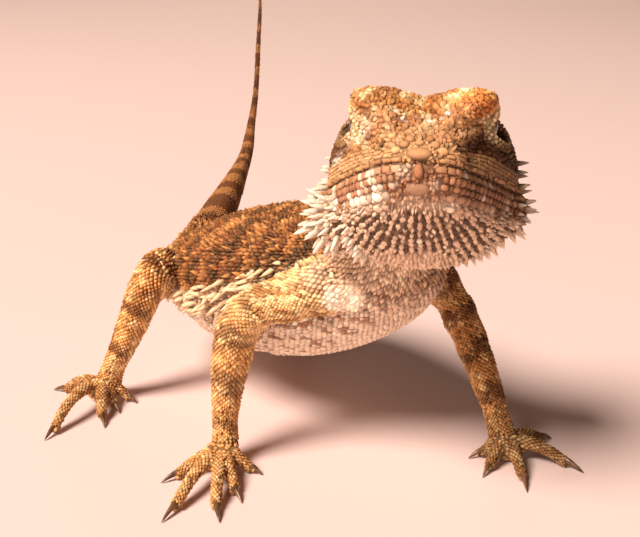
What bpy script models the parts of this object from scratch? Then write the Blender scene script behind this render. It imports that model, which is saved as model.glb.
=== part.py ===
# A young bearded dragon standing on a floor with its head raised and turned to its right.
# The animal faces -Y, its left side is +X and the floor is the plane z = 0.
# Lengths are in millimetres and become metres when a mesh is made.
import math
import random

import bmesh
import bpy
import numpy as np
from mathutils import Matrix, Vector
from mathutils.bvhtree import BVHTree

metre = 0.001
gap = 0.3                                  # clear space between neighbouring solids
middle = np.array([21.0, 36.2, 0.0])     # the middle of the animal's bounding box on the floor
spineSides = 5
rand = random.Random(7)

for old in list(bpy.data.objects):
    bpy.data.objects.remove(old, do_unlink=True)


# Colours of the hide, one for each kind of part: red, green, blue, roughness.
colours = {
    "crown": (0.56, 0.32, 0.13, 0.62),
    "throat": (0.66, 0.45, 0.33, 0.66),
    "back": (0.30, 0.16, 0.07, 0.68),
    "neck": (0.50, 0.31, 0.17, 0.66),
    "tail": (0.29, 0.15, 0.07, 0.66),
    "arm": (0.45, 0.25, 0.11, 0.64),
    "leg": (0.36, 0.20, 0.09, 0.66),
    "digit": (0.50, 0.28, 0.12, 0.60),
    "claw": (0.09, 0.045, 0.025, 0.28),
    "eye": (0.10, 0.055, 0.02, 0.08),
}


def hide(kind, node):
    """A plain material for one node, from its row in the table of colours."""
    red, green, blue, rough = colours[kind]
    mat = bpy.data.materials.new(node + "_" + kind)
    mat.use_nodes = True
    shader = mat.node_tree.nodes["Principled BSDF"]
    shader.inputs["Base Color"].default_value = (red, green, blue, 1.0)
    shader.inputs["Roughness"].default_value = rough
    shader.inputs["Metallic"].default_value = 0.0
    return mat


def unit(v):
    v = np.asarray(v, float)
    return v / np.linalg.norm(v)


def spline(at, rows, wanted):
    """Rows of values at the wanted places, on a smooth cubic through the given rows."""
    at, rows = np.asarray(at, float), np.asarray(rows, float)
    step = np.diff(at)[:, None]
    slope = np.diff(rows, axis=0) / step
    inner = (slope[:-1] * step[1:] + slope[1:] * step[:-1]) / (step[1:] + step[:-1])
    slope = np.vstack([slope[:1], inner, slope[-1:]])
    k = np.clip(np.searchsorted(at, wanted, side="right") - 1, 0, len(at) - 2)
    h = step[k]
    u = (wanted - at[k])[:, None] / h
    here, there = rows[k], rows[k + 1]
    bend = (u**3 - 2 * u**2 + u) * h * slope[k] + (u**3 - u**2) * h * slope[k + 1]
    return (2 * u**3 - 3 * u**2 + 1) * here + (3 * u**2 - 2 * u**3) * there + bend


def tube(stations, dorsal, rings, sides, grow=0.0, square=2.2):
    """Vertices of a closed tube along a smooth path.

    A station is x, y, z of the path, the half width, the height above the path and the depth
    below it. The section is a superellipse; the ends are domes.
    """
    rows = np.asarray(stations, float)
    along = np.concatenate([[0], np.cumsum(np.linalg.norm(np.diff(rows[:, :3], axis=0), axis=1))])
    t = np.linspace(0, along[-1], rings)
    fine = spline(along, rows, t)
    path = fine[:, :3]
    way = np.gradient(path, axis=0)
    way /= np.linalg.norm(way, axis=1)[:, None]
    size = fine[:, 3:] + grow
    # each end gets two smaller rings, so that it closes as a dome
    first, last = size[0].min() * 0.8, size[-1].min() * 0.8
    turn = np.radians([62, 34])
    before = path[0] - way[0] * first * np.sin(turn)[:, None]
    after = path[-1] + way[-1] * last * np.sin(turn[::-1])[:, None]
    path = np.vstack([before, path, after])
    size = np.vstack([size[0] * np.cos(turn)[:, None], size, size[-1] * np.cos(turn[::-1])[:, None]])
    way = np.vstack([way[:1], way[:1], way, way[-1:], way[-1:]])
    up = np.asarray(dorsal, float) - way * (way @ np.asarray(dorsal, float))[:, None]
    up /= np.linalg.norm(up, axis=1)[:, None]
    left = np.cross(way, up)
    a = np.arange(sides) * 2 * math.pi / sides
    c, s = np.cos(a), np.sin(a)
    across = np.sign(c) * np.abs(c) ** (2 / square)
    above = np.sign(s) * np.abs(s) ** (2 / square)
    tall = np.where(above[None, :] > 0, size[:, 1:2], size[:, 2:3]) * above[None, :]
    wide = size[:, 0:1] * across[None, :]
    skin = path[:, None, :] + left[:, None, :] * wide[:, :, None] + up[:, None, :] * tall[:, :, None]
    ends = path[0] - way[0] * first * 0.12, path[-1] + way[-1] * last * 0.12
    return skin, ends


def sewn(skin, ends):
    """Faces of a grid of rings, closed by a point at each end, as a Blender mesh."""
    rings, sides = skin.shape[:2]
    verts = np.vstack([skin.reshape(-1, 3), ends[0][None], ends[1][None]])
    base = np.arange(rings * sides).reshape(rings, sides)
    nxt = np.roll(base, -1, axis=1)
    quads = np.stack([base[:-1], nxt[:-1], nxt[1:], base[1:]], axis=-1).reshape(-1, 4).tolist()
    head, foot = rings * sides, rings * sides + 1
    fans = [(int(nxt[0, k]), int(base[0, k]), head) for k in range(sides)]
    fans += [(int(base[-1, k]), int(nxt[-1, k]), foot) for k in range(sides)]
    mesh = bpy.data.meshes.new("form")
    mesh.from_pydata((verts * metre).tolist(), [], quads + fans)
    return outward(mesh)


def outward(mesh):
    """The same mesh with every face turned outwards."""
    bm = bmesh.new()
    bm.from_mesh(mesh)
    bmesh.ops.recalc_face_normals(bm, faces=bm.faces)
    bm.to_mesh(mesh)
    bm.free()
    return mesh


def thing(mesh, name):
    obj = bpy.data.objects.new(name, mesh)
    bpy.context.scene.collection.objects.link(obj)
    return obj


def tubeThing(name, stations, dorsal, rings, sides, grow=0.0, square=2.2):
    return thing(sewn(*tube(stations, dorsal, rings, sides, grow, square)), name)


def ball(name, centre, axes, radii, rings=8, sides=12):
    """An ellipsoid with its three radii along the three given axes."""
    a = np.linspace(0, math.pi, rings + 2)[1:-1]
    b = np.arange(sides) * 2 * math.pi / sides
    axes = np.asarray(axes, float)
    ring = np.sin(a)[:, None]
    local = np.stack([ring * np.cos(b), ring * np.sin(b), np.repeat(np.cos(a)[:, None], sides, 1)], -1)
    skin = np.asarray(centre) + (local * np.asarray(radii, float)) @ axes
    poles = np.asarray(centre) + axes[2] * radii[2], np.asarray(centre) - axes[2] * radii[2]
    return thing(sewn(skin, poles), name)


def joinInto(obj, others, solver="MANIFOLD", way="UNION"):
    """One Boolean of the object with every mesh in a collection, which is then removed."""
    if not others:
        return obj
    bag = bpy.data.collections.new("bag")
    bpy.context.scene.collection.children.link(bag)
    for other in others:
        bag.objects.link(other)
    step = obj.modifiers.new("step", "BOOLEAN")
    step.operand_type = "COLLECTION"
    step.collection = bag
    step.operation = way
    step.solver = solver
    bpy.context.view_layer.update()
    shape = bpy.data.meshes.new_from_object(obj.evaluated_get(bpy.context.evaluated_depsgraph_get()))
    obj.modifiers.remove(step)
    obj.data = shape
    for other in others:
        bpy.data.objects.remove(other, do_unlink=True)
    bpy.data.collections.remove(bag)
    return keepLargest(obj)


def cutAway(obj, cutters, solver="MANIFOLD"):
    return joinInto(obj, cutters, solver, "DIFFERENCE")


def keepLargest(obj):
    """Only the closed surface with the most volume stays."""
    bm = bmesh.new()
    bm.from_mesh(obj.data)
    bmesh.ops.triangulate(bm, faces=bm.faces)
    bmesh.ops.dissolve_degenerate(bm, edges=bm.edges, dist=2e-6)
    left = set(bm.faces)
    shells = []
    while left:
        stack = [left.pop()]
        shell = list(stack)
        while stack:
            for edge in stack.pop().edges:
                for face in edge.link_faces:
                    if face in left:
                        left.discard(face)
                        stack.append(face)
                        shell.append(face)
        shells.append((abs(sum(f.verts[0].co.dot(f.verts[1].co.cross(f.verts[2].co)) for f in shell)), shell))
    shells.sort(key=lambda row: row[0])
    for _, shell in shells[:-1]:
        bmesh.ops.delete(bm, geom=shell, context="FACES")
    loose = [v for v in bm.verts if not v.link_faces]
    bmesh.ops.delete(bm, geom=loose, context="VERTS")
    bm.to_mesh(obj.data)
    bm.free()
    return obj


def behindPlane(obj, point, normal, back=gap / 2):
    """The part of a closed mesh behind a plane, closed again with a flat face."""
    bm = bmesh.new()
    bm.from_mesh(obj.data)
    n = Vector(unit(normal))
    p = Vector(np.asarray(point, float) * metre) - n * back * metre
    everything = bm.verts[:] + bm.edges[:] + bm.faces[:]
    bmesh.ops.bisect_plane(bm, geom=everything, plane_co=p, plane_no=n, clear_outer=True)
    rim = [e for e in bm.edges if e.is_boundary]
    bmesh.ops.holes_fill(bm, edges=rim, sides=0)
    bmesh.ops.recalc_face_normals(bm, faces=bm.faces)
    bm.to_mesh(obj.data)
    bm.free()
    return obj


def between(obj, name, start=None, end=None):
    """A copy of a long form between two planes, each a point and the way along the form."""
    part = thing(obj.data.copy(), name)
    if start is not None:
        behindPlane(part, start[0], -np.asarray(start[1]))
    if end is not None:
        behindPlane(part, end[0], end[1])
    return keepLargest(part)


def spine(root, way, lean, length, radius, sunk=0.9):
    """A tapering spine of two short segments that bends over towards the lean direction."""
    way, lean = unit(way), unit(lean)
    side = unit(np.cross(way, lean))
    front = np.cross(side, way)
    a = np.arange(spineSides) * 2 * math.pi / spineSides
    ring = np.cos(a)[:, None] * side + np.sin(a)[:, None] * front
    foot = np.asarray(root) - way * sunk
    waist = np.asarray(root) + way * length * 0.45 + lean * length * 0.08
    tip = np.asarray(root) + way * length * 0.9 + lean * length * 0.42
    verts = np.vstack([foot + ring * radius, waist + ring * radius * 0.66, tip[None]])
    n = spineSides
    faces = [(k, (k + 1) % n, n + (k + 1) % n, n + k) for k in range(n)]
    faces += [(n + k, n + (k + 1) % n, 2 * n) for k in range(n)] + [tuple(range(n - 1, -1, -1))]
    mesh = bpy.data.meshes.new("spine")
    mesh.from_pydata((verts * metre).tolist(), [], faces)
    return thing(outward(mesh), "spine")


def finish(obj, kind, sharp=40):
    obj.data.materials.clear()
    obj.data.materials.append(hide(kind, obj.name))
    for face in obj.data.polygons:
        face.use_smooth = True
        face.material_index = 0
    obj.data.set_sharp_from_angle(angle=math.radians(sharp))
    return obj


# The trunk is one long form from the back of the head to the tip of the tail.
# Each station is x, y, z of the path, half width, height above it, depth below it
trunkStations = [
    (-0.6, -30.2, 42.2, 7.6, 3.6, 6.2),
    (0.2, -26.6, 36.8, 7.8, 5.6, 6.2),
    (0.1, -22.5, 30.8, 9.6, 7.4, 9.4),
    (0.0, -15.0, 26.4, 11.8, 9.8, 11.2),
    (0.0, -5.0, 23.2, 14.0, 11.0, 12.6),
    (0.0, 5.0, 21.2, 14.6, 10.4, 12.4),
    (0.0, 14.0, 19.2, 12.8, 8.8, 10.8),
    (0.0, 21.5, 17.4, 9.4, 6.6, 7.2),
    (0.4, 26.7, 16.4, 6.8, 5.4, 5.8),
    (2.7, 31.4, 16.9, 5.0, 4.3, 4.4),
    (7.6, 36.2, 18.6, 4.0, 3.7, 3.7),
    (14.4, 42.0, 21.0, 3.4, 3.2, 3.2),
    (27.1, 54.7, 23.6, 2.2, 2.15, 2.15),
    (39.8, 69.4, 25.2, 1.65, 1.6, 1.6),
    (47.2, 78.5, 28.3, 1.3, 1.3, 1.3),
    (53.7, 86.0, 32.9, 1.1, 1.1, 1.1),
    (64.9, 100.3, 42.9, 1.0, 1.0, 1.0),
    (75.1, 113.4, 54.4, 0.85, 0.85, 0.85),
    (79.5, 119.5, 60.5, 0.65, 0.65, 0.65),
]
trunkUp = (0.0, 0.3, 1.0)
neckCut = ((0.2, -24.2, 33.2), (-0.04, 0.58, -0.81))
tailCut = ((0.9, 28.6, 16.5), (0.3, 0.95, 0.05))
tailMiddleCut = ((26.7, 55.0, 23.6), (0.66, 0.75, 0.09))
tailTipCut = ((53.7, 86.0, 32.9), (0.52, 0.63, 0.57))


def trunk(grow=0.0, rings=26, sides=22):
    """Neck, torso and the root of the tail."""
    return tubeThing("trunk", trunkStations[:12], trunkUp, rings, sides, grow, 2.25)


def tail(rings=34, sides=12):
    return tubeThing("tail", trunkStations[7:], trunkUp, rings, sides, 0.0, 2.25)


# The head is measured back from the tip of the snout, with its own left and up.
snout = np.array([-15.8, -45.5, 51.3])
headYaw, headPitch = math.radians(45.5), math.radians(22.0)
levelFront = np.array([-math.sin(headYaw), -math.cos(headYaw), 0.0])
headFront = levelFront * math.cos(headPitch) + np.array([0.0, 0.0, math.sin(headPitch)])
headLeft = np.array([math.cos(headYaw), -math.sin(headYaw), 0.0])
headUp = np.cross(headLeft, headFront) * -1.0
headAxes = np.array([headLeft, headUp, headFront])

headAt = [0, 2, 4, 6, 9, 12, 15, 18, 21, 24, 27]
# half width at the mouth, height above it, depth below it
headSizes = [
    (4.2, 2.6, 2.2),
    (5.0, 3.8, 3.4),
    (6.1, 5.4, 4.9),
    (7.3, 7.1, 6.3),
    (8.9, 9.4, 8.0),
    (10.3, 10.5, 9.2),
    (11.5, 10.8, 9.8),
    (12.2, 10.5, 9.6),
    (12.2, 9.6, 8.8),
    (11.0, 7.8, 7.6),
    (8.8, 5.4, 5.6),
]
snoutDome = 2.6
mouthLevel = -0.8                          # the lips meet this far below the tip of the snout
mouthCorner = 19.5


def inHead(s, v, w):
    """A point s back from the tip of the snout, v to the animal's left and w up, in the head's own axes."""
    return snout - s * headFront + v * headLeft + w * headUp


def mouthHeight(s):
    """Height of the line of the mouth: it sinks a little towards the corner, then turns up."""
    return mouthLevel - 0.06 * s + 0.5 * np.clip((s - 15) / 5, 0, 1) ** 2


def headForm(grow=0.0, rings=20, sides=24):
    """The skull with its throat, without ridges: superellipse sections that close as a dome at the snout."""
    q = np.linspace(0, 1, rings)
    s = 27.0 * (0.35 * q + 0.65 * q**1.9) + 0.12
    size = spline(headAt, headSizes, s)
    dome = np.sqrt(1 - (1 - np.clip(s / snoutDome, 0, 1)) ** 2)
    back = np.sqrt(1 - np.clip((s - 23.5) / 4.2, 0, 1) ** 2 * 0.85)
    size = size * (dome * back)[:, None] + grow
    a = np.arange(sides) * 2 * math.pi / sides
    c, t = np.cos(a), np.sin(a)
    boxy = np.where(t > 0, 3.1, 2.2)
    across = np.sign(c) * np.abs(c) ** (2 / boxy)
    above = np.sign(t) * np.abs(t) ** (2 / boxy)
    v = size[:, 0:1] * across
    w = mouthHeight(s)[:, None] + np.where(above > 0, size[:, 1:2], size[:, 2:3]) * above
    s = s - grow * (q < 0.5) + grow * (q > 0.9)
    skin = snout - s[:, None, None] * headFront + v[:, :, None] * headLeft + w[:, :, None] * headUp
    ends = inHead(-grow - 0.05, 0, mouthLevel + 0.2), inHead(s[-1] + 0.5, 0, -0.5)
    return thing(sewn(skin, ends), "head_form")


def headTube(name, rows, rings=9, sides=10, grow=0.0, square=2.0):
    """A ridge on the head; each row is s, v, w, the half width and the half height."""
    stations = [(*inHead(s, v, w), wide, tall, tall) for s, v, w, wide, tall in rows]
    return tubeThing(name, stations, headUp, rings, sides, grow, square)


def headBall(name, s, v, w, radii, rings=8, sides=12):
    return ball(name, inHead(s, v, w), headAxes, radii, rings, sides)


browRidge = [
    (3.6, 2.6, 2.9, 1.3, 1.0), (6.0, 3.8, 5.2, 2.2, 1.5), (8.8, 5.0, 7.5, 3.3, 1.9),
    (12.0, 5.4, 8.4, 3.8, 2.1), (15.0, 5.6, 8.1, 3.7, 2.0), (18.5, 6.2, 6.4, 3.0, 1.8),
]
# the slope from each brow down to the middle of the crown
browSlope = [
    (6.6, 2.0, 5.6, 1.6, 0.9), (9.0, 2.3, 7.75, 2.5, 1.15), (12.0, 2.5, 8.6, 2.9, 1.25),
    (15.0, 2.5, 8.55, 2.8, 1.15), (18.0, 2.4, 7.7, 2.2, 0.9),
]
jowlPlaces = {1: ((18.4, 9.2, -3.4), (4.2, 4.2, 4.8)), -1: ((19.0, -9.9, -5.0), (4.2, 4.7, 5.0))}
eyePlace = (11.6, 6.4, 5.4)
eyeRadius = 2.45
lidRadii = (3.15, 2.95, 3.55)


def jowl(side, grow=0.0):
    """The swelling of the throat below the corner of the mouth, fuller on the side the head turns to."""
    place, radii = jowlPlaces[side]
    return headBall("jowl", *place, [r + grow for r in radii], 7, 12)


def headBlobs(side):
    """Brow ridge, eyelids, temple and jowl of one side: side is +1 for the left and -1 for the right."""
    blobs = [headTube("brow", [(s, v * side, w, wide, tall) for s, v, w, wide, tall in browRidge], square=2.6)]
    blobs.append(headTube("slope", [(s, v * side, w, wide, tall) for s, v, w, wide, tall in browSlope], 7))
    s, v, w = eyePlace
    blobs.append(headBall("lids", s, v * side, w, lidRadii, 7, 12))
    blobs.append(headBall("temple", 17.8, 8.6 * side, 2.6, (3.2, 3.6, 4.6), 6, 10))
    blobs.append(jowl(side))
    return blobs


def mouthBlock(side):
    """Everything below the line of the mouth (side -1) or above it (side 1), as a wide block."""
    s = np.concatenate([[-6.0], np.linspace(-1, 22, 24), [40.0]])
    line = mouthHeight(s) + side * -0.5 * gap
    far = np.full_like(line, side * 30.0)
    outline = np.concatenate([np.stack([s, line], 1), np.stack([s, far], 1)[::-1]])
    verts = [inHead(a, v, b) for v in (-22.0, 22.0) for a, b in outline]
    n = len(outline)
    faces = [tuple(range(n)), tuple(range(2 * n - 1, n - 1, -1))]
    faces += [(k, (k + 1) % n, n + (k + 1) % n, n + k) for k in range(n)]
    mesh = bpy.data.meshes.new("block")
    mesh.from_pydata((np.array(verts) * metre).tolist(), [], faces)
    return thing(outward(mesh), "block")


def tree(obj):
    bm = bmesh.new()
    bm.from_mesh(obj.data)
    made = BVHTree.FromBMesh(bm)
    bm.free()
    return made


def onSkin(surface, inside, way):
    """Where a line from inside the form leaves it, with the surface's outward direction there."""
    start = Vector(np.asarray(inside, float) * metre)
    hit, normal, _, _ = surface.ray_cast(start, Vector(unit(way)))
    if hit is None:
        return None, None
    return np.array(hit) / metre, np.array(normal)


def clearOf(surface, point, room=0.5):
    """Whether a point stands at least this far outside a closed form."""
    near, normal, _, _ = surface.find_nearest(Vector(np.asarray(point, float) * metre))
    return (Vector(np.asarray(point, float) * metre) - near).dot(normal) > room * metre


def standsClear(surfaces, root, way, lean, length, room=0.5):
    """Whether a spine's middle and tip are clear of every one of the forms."""
    way, lean = unit(way), unit(lean)
    spots = [root + way * length * 0.4, root + way * length * 0.9 + lean * length * 0.42]
    return all(clearOf(surface, spot, room) for surface in surfaces for spot in spots)


def headSpines(surface, rows, level, jitter=0.1):
    """Spines in rings round the head, aimed out from the given level above the snout's tip.

    Each row is s, first and last angle, how many, length, radius and backward lean.
    """
    made = []
    for s, start, stop, count, length, radius, lean in rows:
        for k, angle in enumerate(np.radians(np.linspace(start, stop, count))):
            for side in (1, -1):
                if side < 0 and abs(math.cos(angle)) < 0.02:
                    continue
                away = math.cos(angle) * side * headLeft + math.sin(angle) * headUp
                at = s + rand.uniform(-jitter, jitter) + (0.5 if k % 2 else -0.5) * (count > 3)
                root, normal = onSkin(surface, inHead(at, 0, level), away)
                if root is None:
                    continue
                low = min(max((-math.degrees(angle) - 32) / 40, 0), 1)
                size = (1 + rand.uniform(-0.08, 0.08)) * (1 - 0.45 * low)
                way, over = normal * (1 - lean) - headFront * lean, -headFront * 0.6 - headUp * 0.5
                if standsClear([bodySkin], root, way, over, length, 0.7):
                    made.append(spine(root, way, over, length * size, radius))
    return made


# The head and the lower jaw are parted along the line of the mouth.
body = trunk()
bodySkin = tree(body)
head = headForm()
joinInto(head, headBlobs(1) + headBlobs(-1))
s, v, w = eyePlace
hollows = []
for side in (1, -1):
    hollows.append(headBall("socket", s, v * side, w, (eyeRadius + gap,) * 3, 8, 14))
    hollows.append(headBall("opening", s, (v + 2.6) * side, w + 0.05, (2.2, 1.3, 2.25), 8, 14))
    hollows.append(headBall("nostril", 2.7, 3.9 * side, 1.3, (0.85, 0.55, 0.55), 5, 8))
    hollows.append(headBall("ear", 21.6, 12.9 * side, 1.4, (1.7, 2.0, 1.3), 6, 10))
cutAway(head, hollows)
jaw = thing(head.data.copy(), "lower_jaw")
head.name = "head"
cutAway(head, [mouthBlock(-1)])
cutAway(jaw, [mouthBlock(1)])
headGrown = headForm(gap)
joinInto(headGrown, [jowl(side, gap) for side in (1, -1)])

jowlRows = [
    (16.6, -2, -44, 5, 2.2, 0.58, 0.42),
    (19.4, -6, -52, 5, 2.4, 0.6, 0.5),
    (22.0, -12, -54, 5, 2.2, 0.58, 0.6),
]
beardRows = [
    (9.0, -48, -90, 4, 1.1, 0.5, 0.76),
    (12.0, -42, -90, 5, 1.2, 0.5, 0.76),
    (15.0, -40, -90, 5, 1.3, 0.52, 0.74),
    (18.0, -58, -90, 4, 1.3, 0.52, 0.74),
]
crownRows = [
    (17.8, -8, 2, 2, 1.8, 0.5, 0.42),
    (22.6, 4, 44, 5, 1.9, 0.58, 0.62),
    (20.2, 30, 44, 2, 1.6, 0.55, 0.62),
]
jawSkin, headSkin = tree(jaw), tree(head)
joinInto(jaw, headSpines(jawSkin, jowlRows, -3.0) + headSpines(jawSkin, beardRows, -3.0))
joinInto(head, headSpines(headSkin, crownRows, 1.2))
eyes = [headBall("eye_" + name, s, v * side, w, (eyeRadius,) * 3, 9, 14) for name, side in (("left", 1), ("right", -1))]

# Planes across the trunk part the neck, the torso and the three lengths of the tail.
torsoGrown, whip = trunk(gap), tail()
torso = between(body, "torso", neckCut, tailCut)
neck = between(body, "neck", None, neckCut)
cutAway(neck, [headGrown])
tailBase = between(whip, "tail_base", tailCut, tailMiddleCut)
tailMiddle = between(whip, "tail_middle", tailMiddleCut, tailTipCut)
tailTip = between(whip, "tail_tip", tailTipCut)
for old in (body, whip):
    bpy.data.objects.remove(old, do_unlink=True)

# Each limb is one form from inside the trunk to the wrist or ankle: x, y, z of the path and the radius.
armRight = [
    (-4.5, -21.5, 28.6, 4.4), (-8.6, -20.6, 27.9, 4.2), (-12.6, -17.0, 25.8, 3.3), (-15.9, -13.2, 23.6, 3.0),
    (-17.5, -11.7, 20.9, 3.0), (-18.6, -11.3, 16.6, 2.8), (-19.5, -11.1, 11.0, 2.2), (-20.0, -11.1, 6.2, 1.85),
    (-20.3, -11.6, 2.9, 2.0),
]
armLeft = [
    (3.5, -21.0, 28.4, 4.2), (7.4, -22.2, 27.0, 3.8), (10.4, -23.0, 24.8, 3.1), (12.2, -24.2, 21.9, 2.7),
    (13.1, -26.2, 18.2, 2.6), (13.4, -28.8, 13.9, 2.35), (13.4, -31.5, 9.5, 2.05), (13.3, -33.5, 6.0, 1.85),
    (13.5, -34.6, 2.9, 2.1),
]
legRight = [
    (-2.6, 25.6, 15.8, 4.7), (-6.9, 22.7, 17.4, 4.4), (-11.5, 18.6, 20.0, 3.7), (-15.0, 15.6, 21.5, 3.1),
    (-17.2, 15.3, 19.2, 2.9), (-19.3, 15.9, 14.5, 2.55), (-21.4, 16.9, 9.4, 2.1), (-22.7, 17.9, 6.0, 1.9),
    (-23.4, 18.9, 2.9, 2.1),
]
legLeft = [
    (2.6, 25.6, 15.8, 4.7), (6.8, 23.4, 17.2, 4.4), (11.2, 20.2, 19.8, 3.7), (14.6, 18.2, 21.1, 3.0),
    (16.6, 18.8, 18.8, 2.8), (18.4, 21.2, 14.2, 2.55), (20.1, 24.2, 9.2, 2.1), (21.0, 26.0, 6.0, 1.9),
    (21.6, 27.0, 2.9, 2.1),
]
# the middle of the palm or sole, its radii, then for each toe the end of its flesh and the point of its claw
handRight = ((-21.5, -12.2), (2.8, 3.0), [
    ((-19.0, -16.2), (-18.2, -17.7)), ((-24.2, -19.6), (-24.8, -22.2)), ((-28.6, -21.6), (-29.8, -24.3)),
    ((-32.9, -18.2), (-35.8, -19.6)), ((-28.3, -11.1), (-30.7, -10.7))])
handLeft = ((13.5, -35.4), (2.7, 2.9), [
    ((10.3, -33.4), (8.5, -32.7)), ((8.3, -36.9), (6.1, -37.8)), ((9.9, -41.8), (8.0, -44.4)),
    ((17.9, -43.1), (18.4, -45.9)), ((21.0, -35.9), (23.0, -36.2))])
footRight = ((-24.4, 19.2), (2.6, 2.9), [
    ((-21.6, 15.6), (-21.0, 14.0)), ((-24.8, 14.6), (-24.9, 12.5)), ((-28.3, 11.9), (-29.2, 9.4)),
    ((-36.1, 12.7), (-38.3, 11.4)), ((-28.3, 24.9), (-29.5, 27.2))])
footLeft = ((22.6, 26.9), (2.5, 2.9), [
    ((19.9, 23.0), (19.2, 21.4)), ((22.9, 21.9), (22.9, 19.8)), ((26.8, 19.8), (27.5, 17.3)),
    ((33.3, 21.6), (35.4, 20.1)), ((26.0, 32.9), (27.0, 35.2))])


def limbTube(stations, rings=26, sides=12, grow=0.0):
    rows = [(x, y, z, r, r, r) for x, y, z, r in stations]
    return tubeThing("limb", rows, (0.3, 0.9, 0.35), rings, sides, grow, 2.1)


def bend(stations, k):
    """A cutting plane across the limb at station k, with the way along the limb."""
    rows = np.array(stations)[:, :3]
    return rows[k], unit(rows[k + 1] - rows[k - 1])


def toe(centre, end, tip, thick, arch):
    """One toe with its claw as a single form, and the plane that parts them."""
    centre, end, tip = np.array(centre), np.array(end), np.array(tip)
    reach = end - centre
    high = 1.6 + arch * np.linalg.norm(reach)
    rows = [
        (*centre, 2.3, 1.25 * thick),
        (*(centre + reach * 0.42), high + 0.5, 0.98 * thick),
        (*(centre + reach * 0.74), high - 0.3, 0.84 * thick),
        (*end, 0.78 * thick, 0.78 * thick),
        (*(end + (tip - end) * 0.45), 1.0, 0.46),
        (*tip, 0.32, 0.15),
    ]
    rows = [(x, y, z, r, r, r) for x, y, z, r in rows]
    form = tubeThing("toe", rows, (0, 0, 1), 10, 7, 0.0, 2.0)
    return form, ((*(end + (tip - end) * 0.1), 0.85 * thick), (*unit(tip - end), -0.1))


def limb(stations, side, names, foot, elbow):
    """The upper part, the lower part, and the hand or foot with its claws."""
    upperName, lowerName, footName = names
    whole = limbTube(stations)
    upper = between(whole, f"{upperName}_{side}", None, bend(stations, elbow))
    cutAway(upper, [thing(torsoGrown.data.copy(), "cutter")])
    wrist = bend(stations, len(stations) - 2)
    lower = between(whole, f"{lowerName}_{side}", bend(stations, elbow), wrist)
    end = between(whole, f"{footName}_{side}", wrist)
    bpy.data.objects.remove(whole, do_unlink=True)
    centre, (wide, deep), toes = foot
    pad = ball("pad", (*centre, 1.9), np.eye(3), (wide, deep, 2.1), 8, 14)
    parts, claws = [pad], []
    for k, (fleshEnd, clawTip) in enumerate(toes):
        thick, arch = 0.94 if k in (0, 4) else 1.0, 0.14 if footName == "foot" else 0.08
        form, cut = toe(centre, fleshEnd, clawTip, thick, arch)
        claw = between(form, f"{footName}_claw_{side}_{k + 1}", cut, None)
        behindPlane(form, cut[0], cut[1])
        parts.append(form)
        claws.append(claw)
    joinInto(end, parts)
    behindPlane(end, (0, 0, 0), (0, 0, -1), 0.0)
    return upper, lower, end, claws


# A fringe of two rows of spines runs along each flank, rising towards the shoulder.
fringeRows = [(4.0, 3.0, 0.66), (-8.0, 2.7, 0.62)]
fringeLine = {"y": (-16, -10, -5, 0, 5, 10, 15, 21), "angle": (17, 10, 2.5, -2, -6, -9, -9, -8)}
fringeFrom, fringeTo, fringeCount = -12.0, 18.5, 11
torsoSkin = tree(torso)
limbs = [limbTube(stations) for stations in (armRight, armLeft, legRight, legLeft)]
limbSkins = [tree(limb) for limb in limbs]
for old in limbs:
    bpy.data.objects.remove(old, do_unlink=True)
fringe = []
for side in (1, -1):
    for row, (angle, length, radius) in enumerate(fringeRows):
        for k in range(fringeCount):
            y = fringeFrom + (fringeTo - fringeFrom) * (k + 0.5 * row) / (fringeCount - 0.5)
            level = 23.4 - 0.19 * (y + 5)
            turn = math.radians(angle + np.interp(y, fringeLine["y"], fringeLine["angle"]))
            away = np.array([side * math.cos(turn), 0.0, math.sin(turn)])
            root, normal = onSkin(torsoSkin, (0, y, level), away)
            taper = 0.72 + 0.28 * math.sin(math.pi * (k + 0.5) / fringeCount)
            size = taper * (1 + rand.uniform(-0.07, 0.07))
            way, over = normal * 0.6 + np.array([0, 0.8, -0.1]), (0, 1, 0.0)
            if standsClear(limbSkins, root, way, over, length):
                fringe.append(spine(root, way, over, length * size, radius))
joinInto(torso, fringe)

made = {}
for side, stations, foot in (("right", armRight, handRight), ("left", armLeft, handLeft)):
    made["arm", side] = limb(stations, side, ("upper_arm", "forearm", "hand"), foot, 3)
for side, stations, foot in (("right", legRight, footRight), ("left", legLeft, footLeft)):
    made["leg", side] = limb(stations, side, ("thigh", "shin", "foot"), foot, 3)
bpy.data.objects.remove(torsoGrown, do_unlink=True)

# Materials, then the origin moves to the middle of the animal on the floor.
finish(head, "crown")
finish(jaw, "throat")
finish(neck, "neck")
finish(torso, "back")
for part in (tailBase, tailMiddle, tailTip):
    finish(part, "tail")
for part in eyes:
    finish(part, "eye")
for (kind, side), (upper, lower, end, claws) in made.items():
    finish(upper, kind)
    finish(lower, kind)
    finish(end, "digit")
    for claw in claws:
        finish(claw, "claw")
for obj in bpy.data.objects:
    obj.data.transform(Matrix.Translation(Vector(-middle * metre)))
    obj.data.update()
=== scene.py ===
# A young bearded dragon, life size, on a plain floor: one skin, a coat of scales, spines, eyes and claws.
# Shapes are worked out in millimetres, in the animal's own frame, and become metres when a mesh is made.
import itertools
import math
from functools import partial

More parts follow.
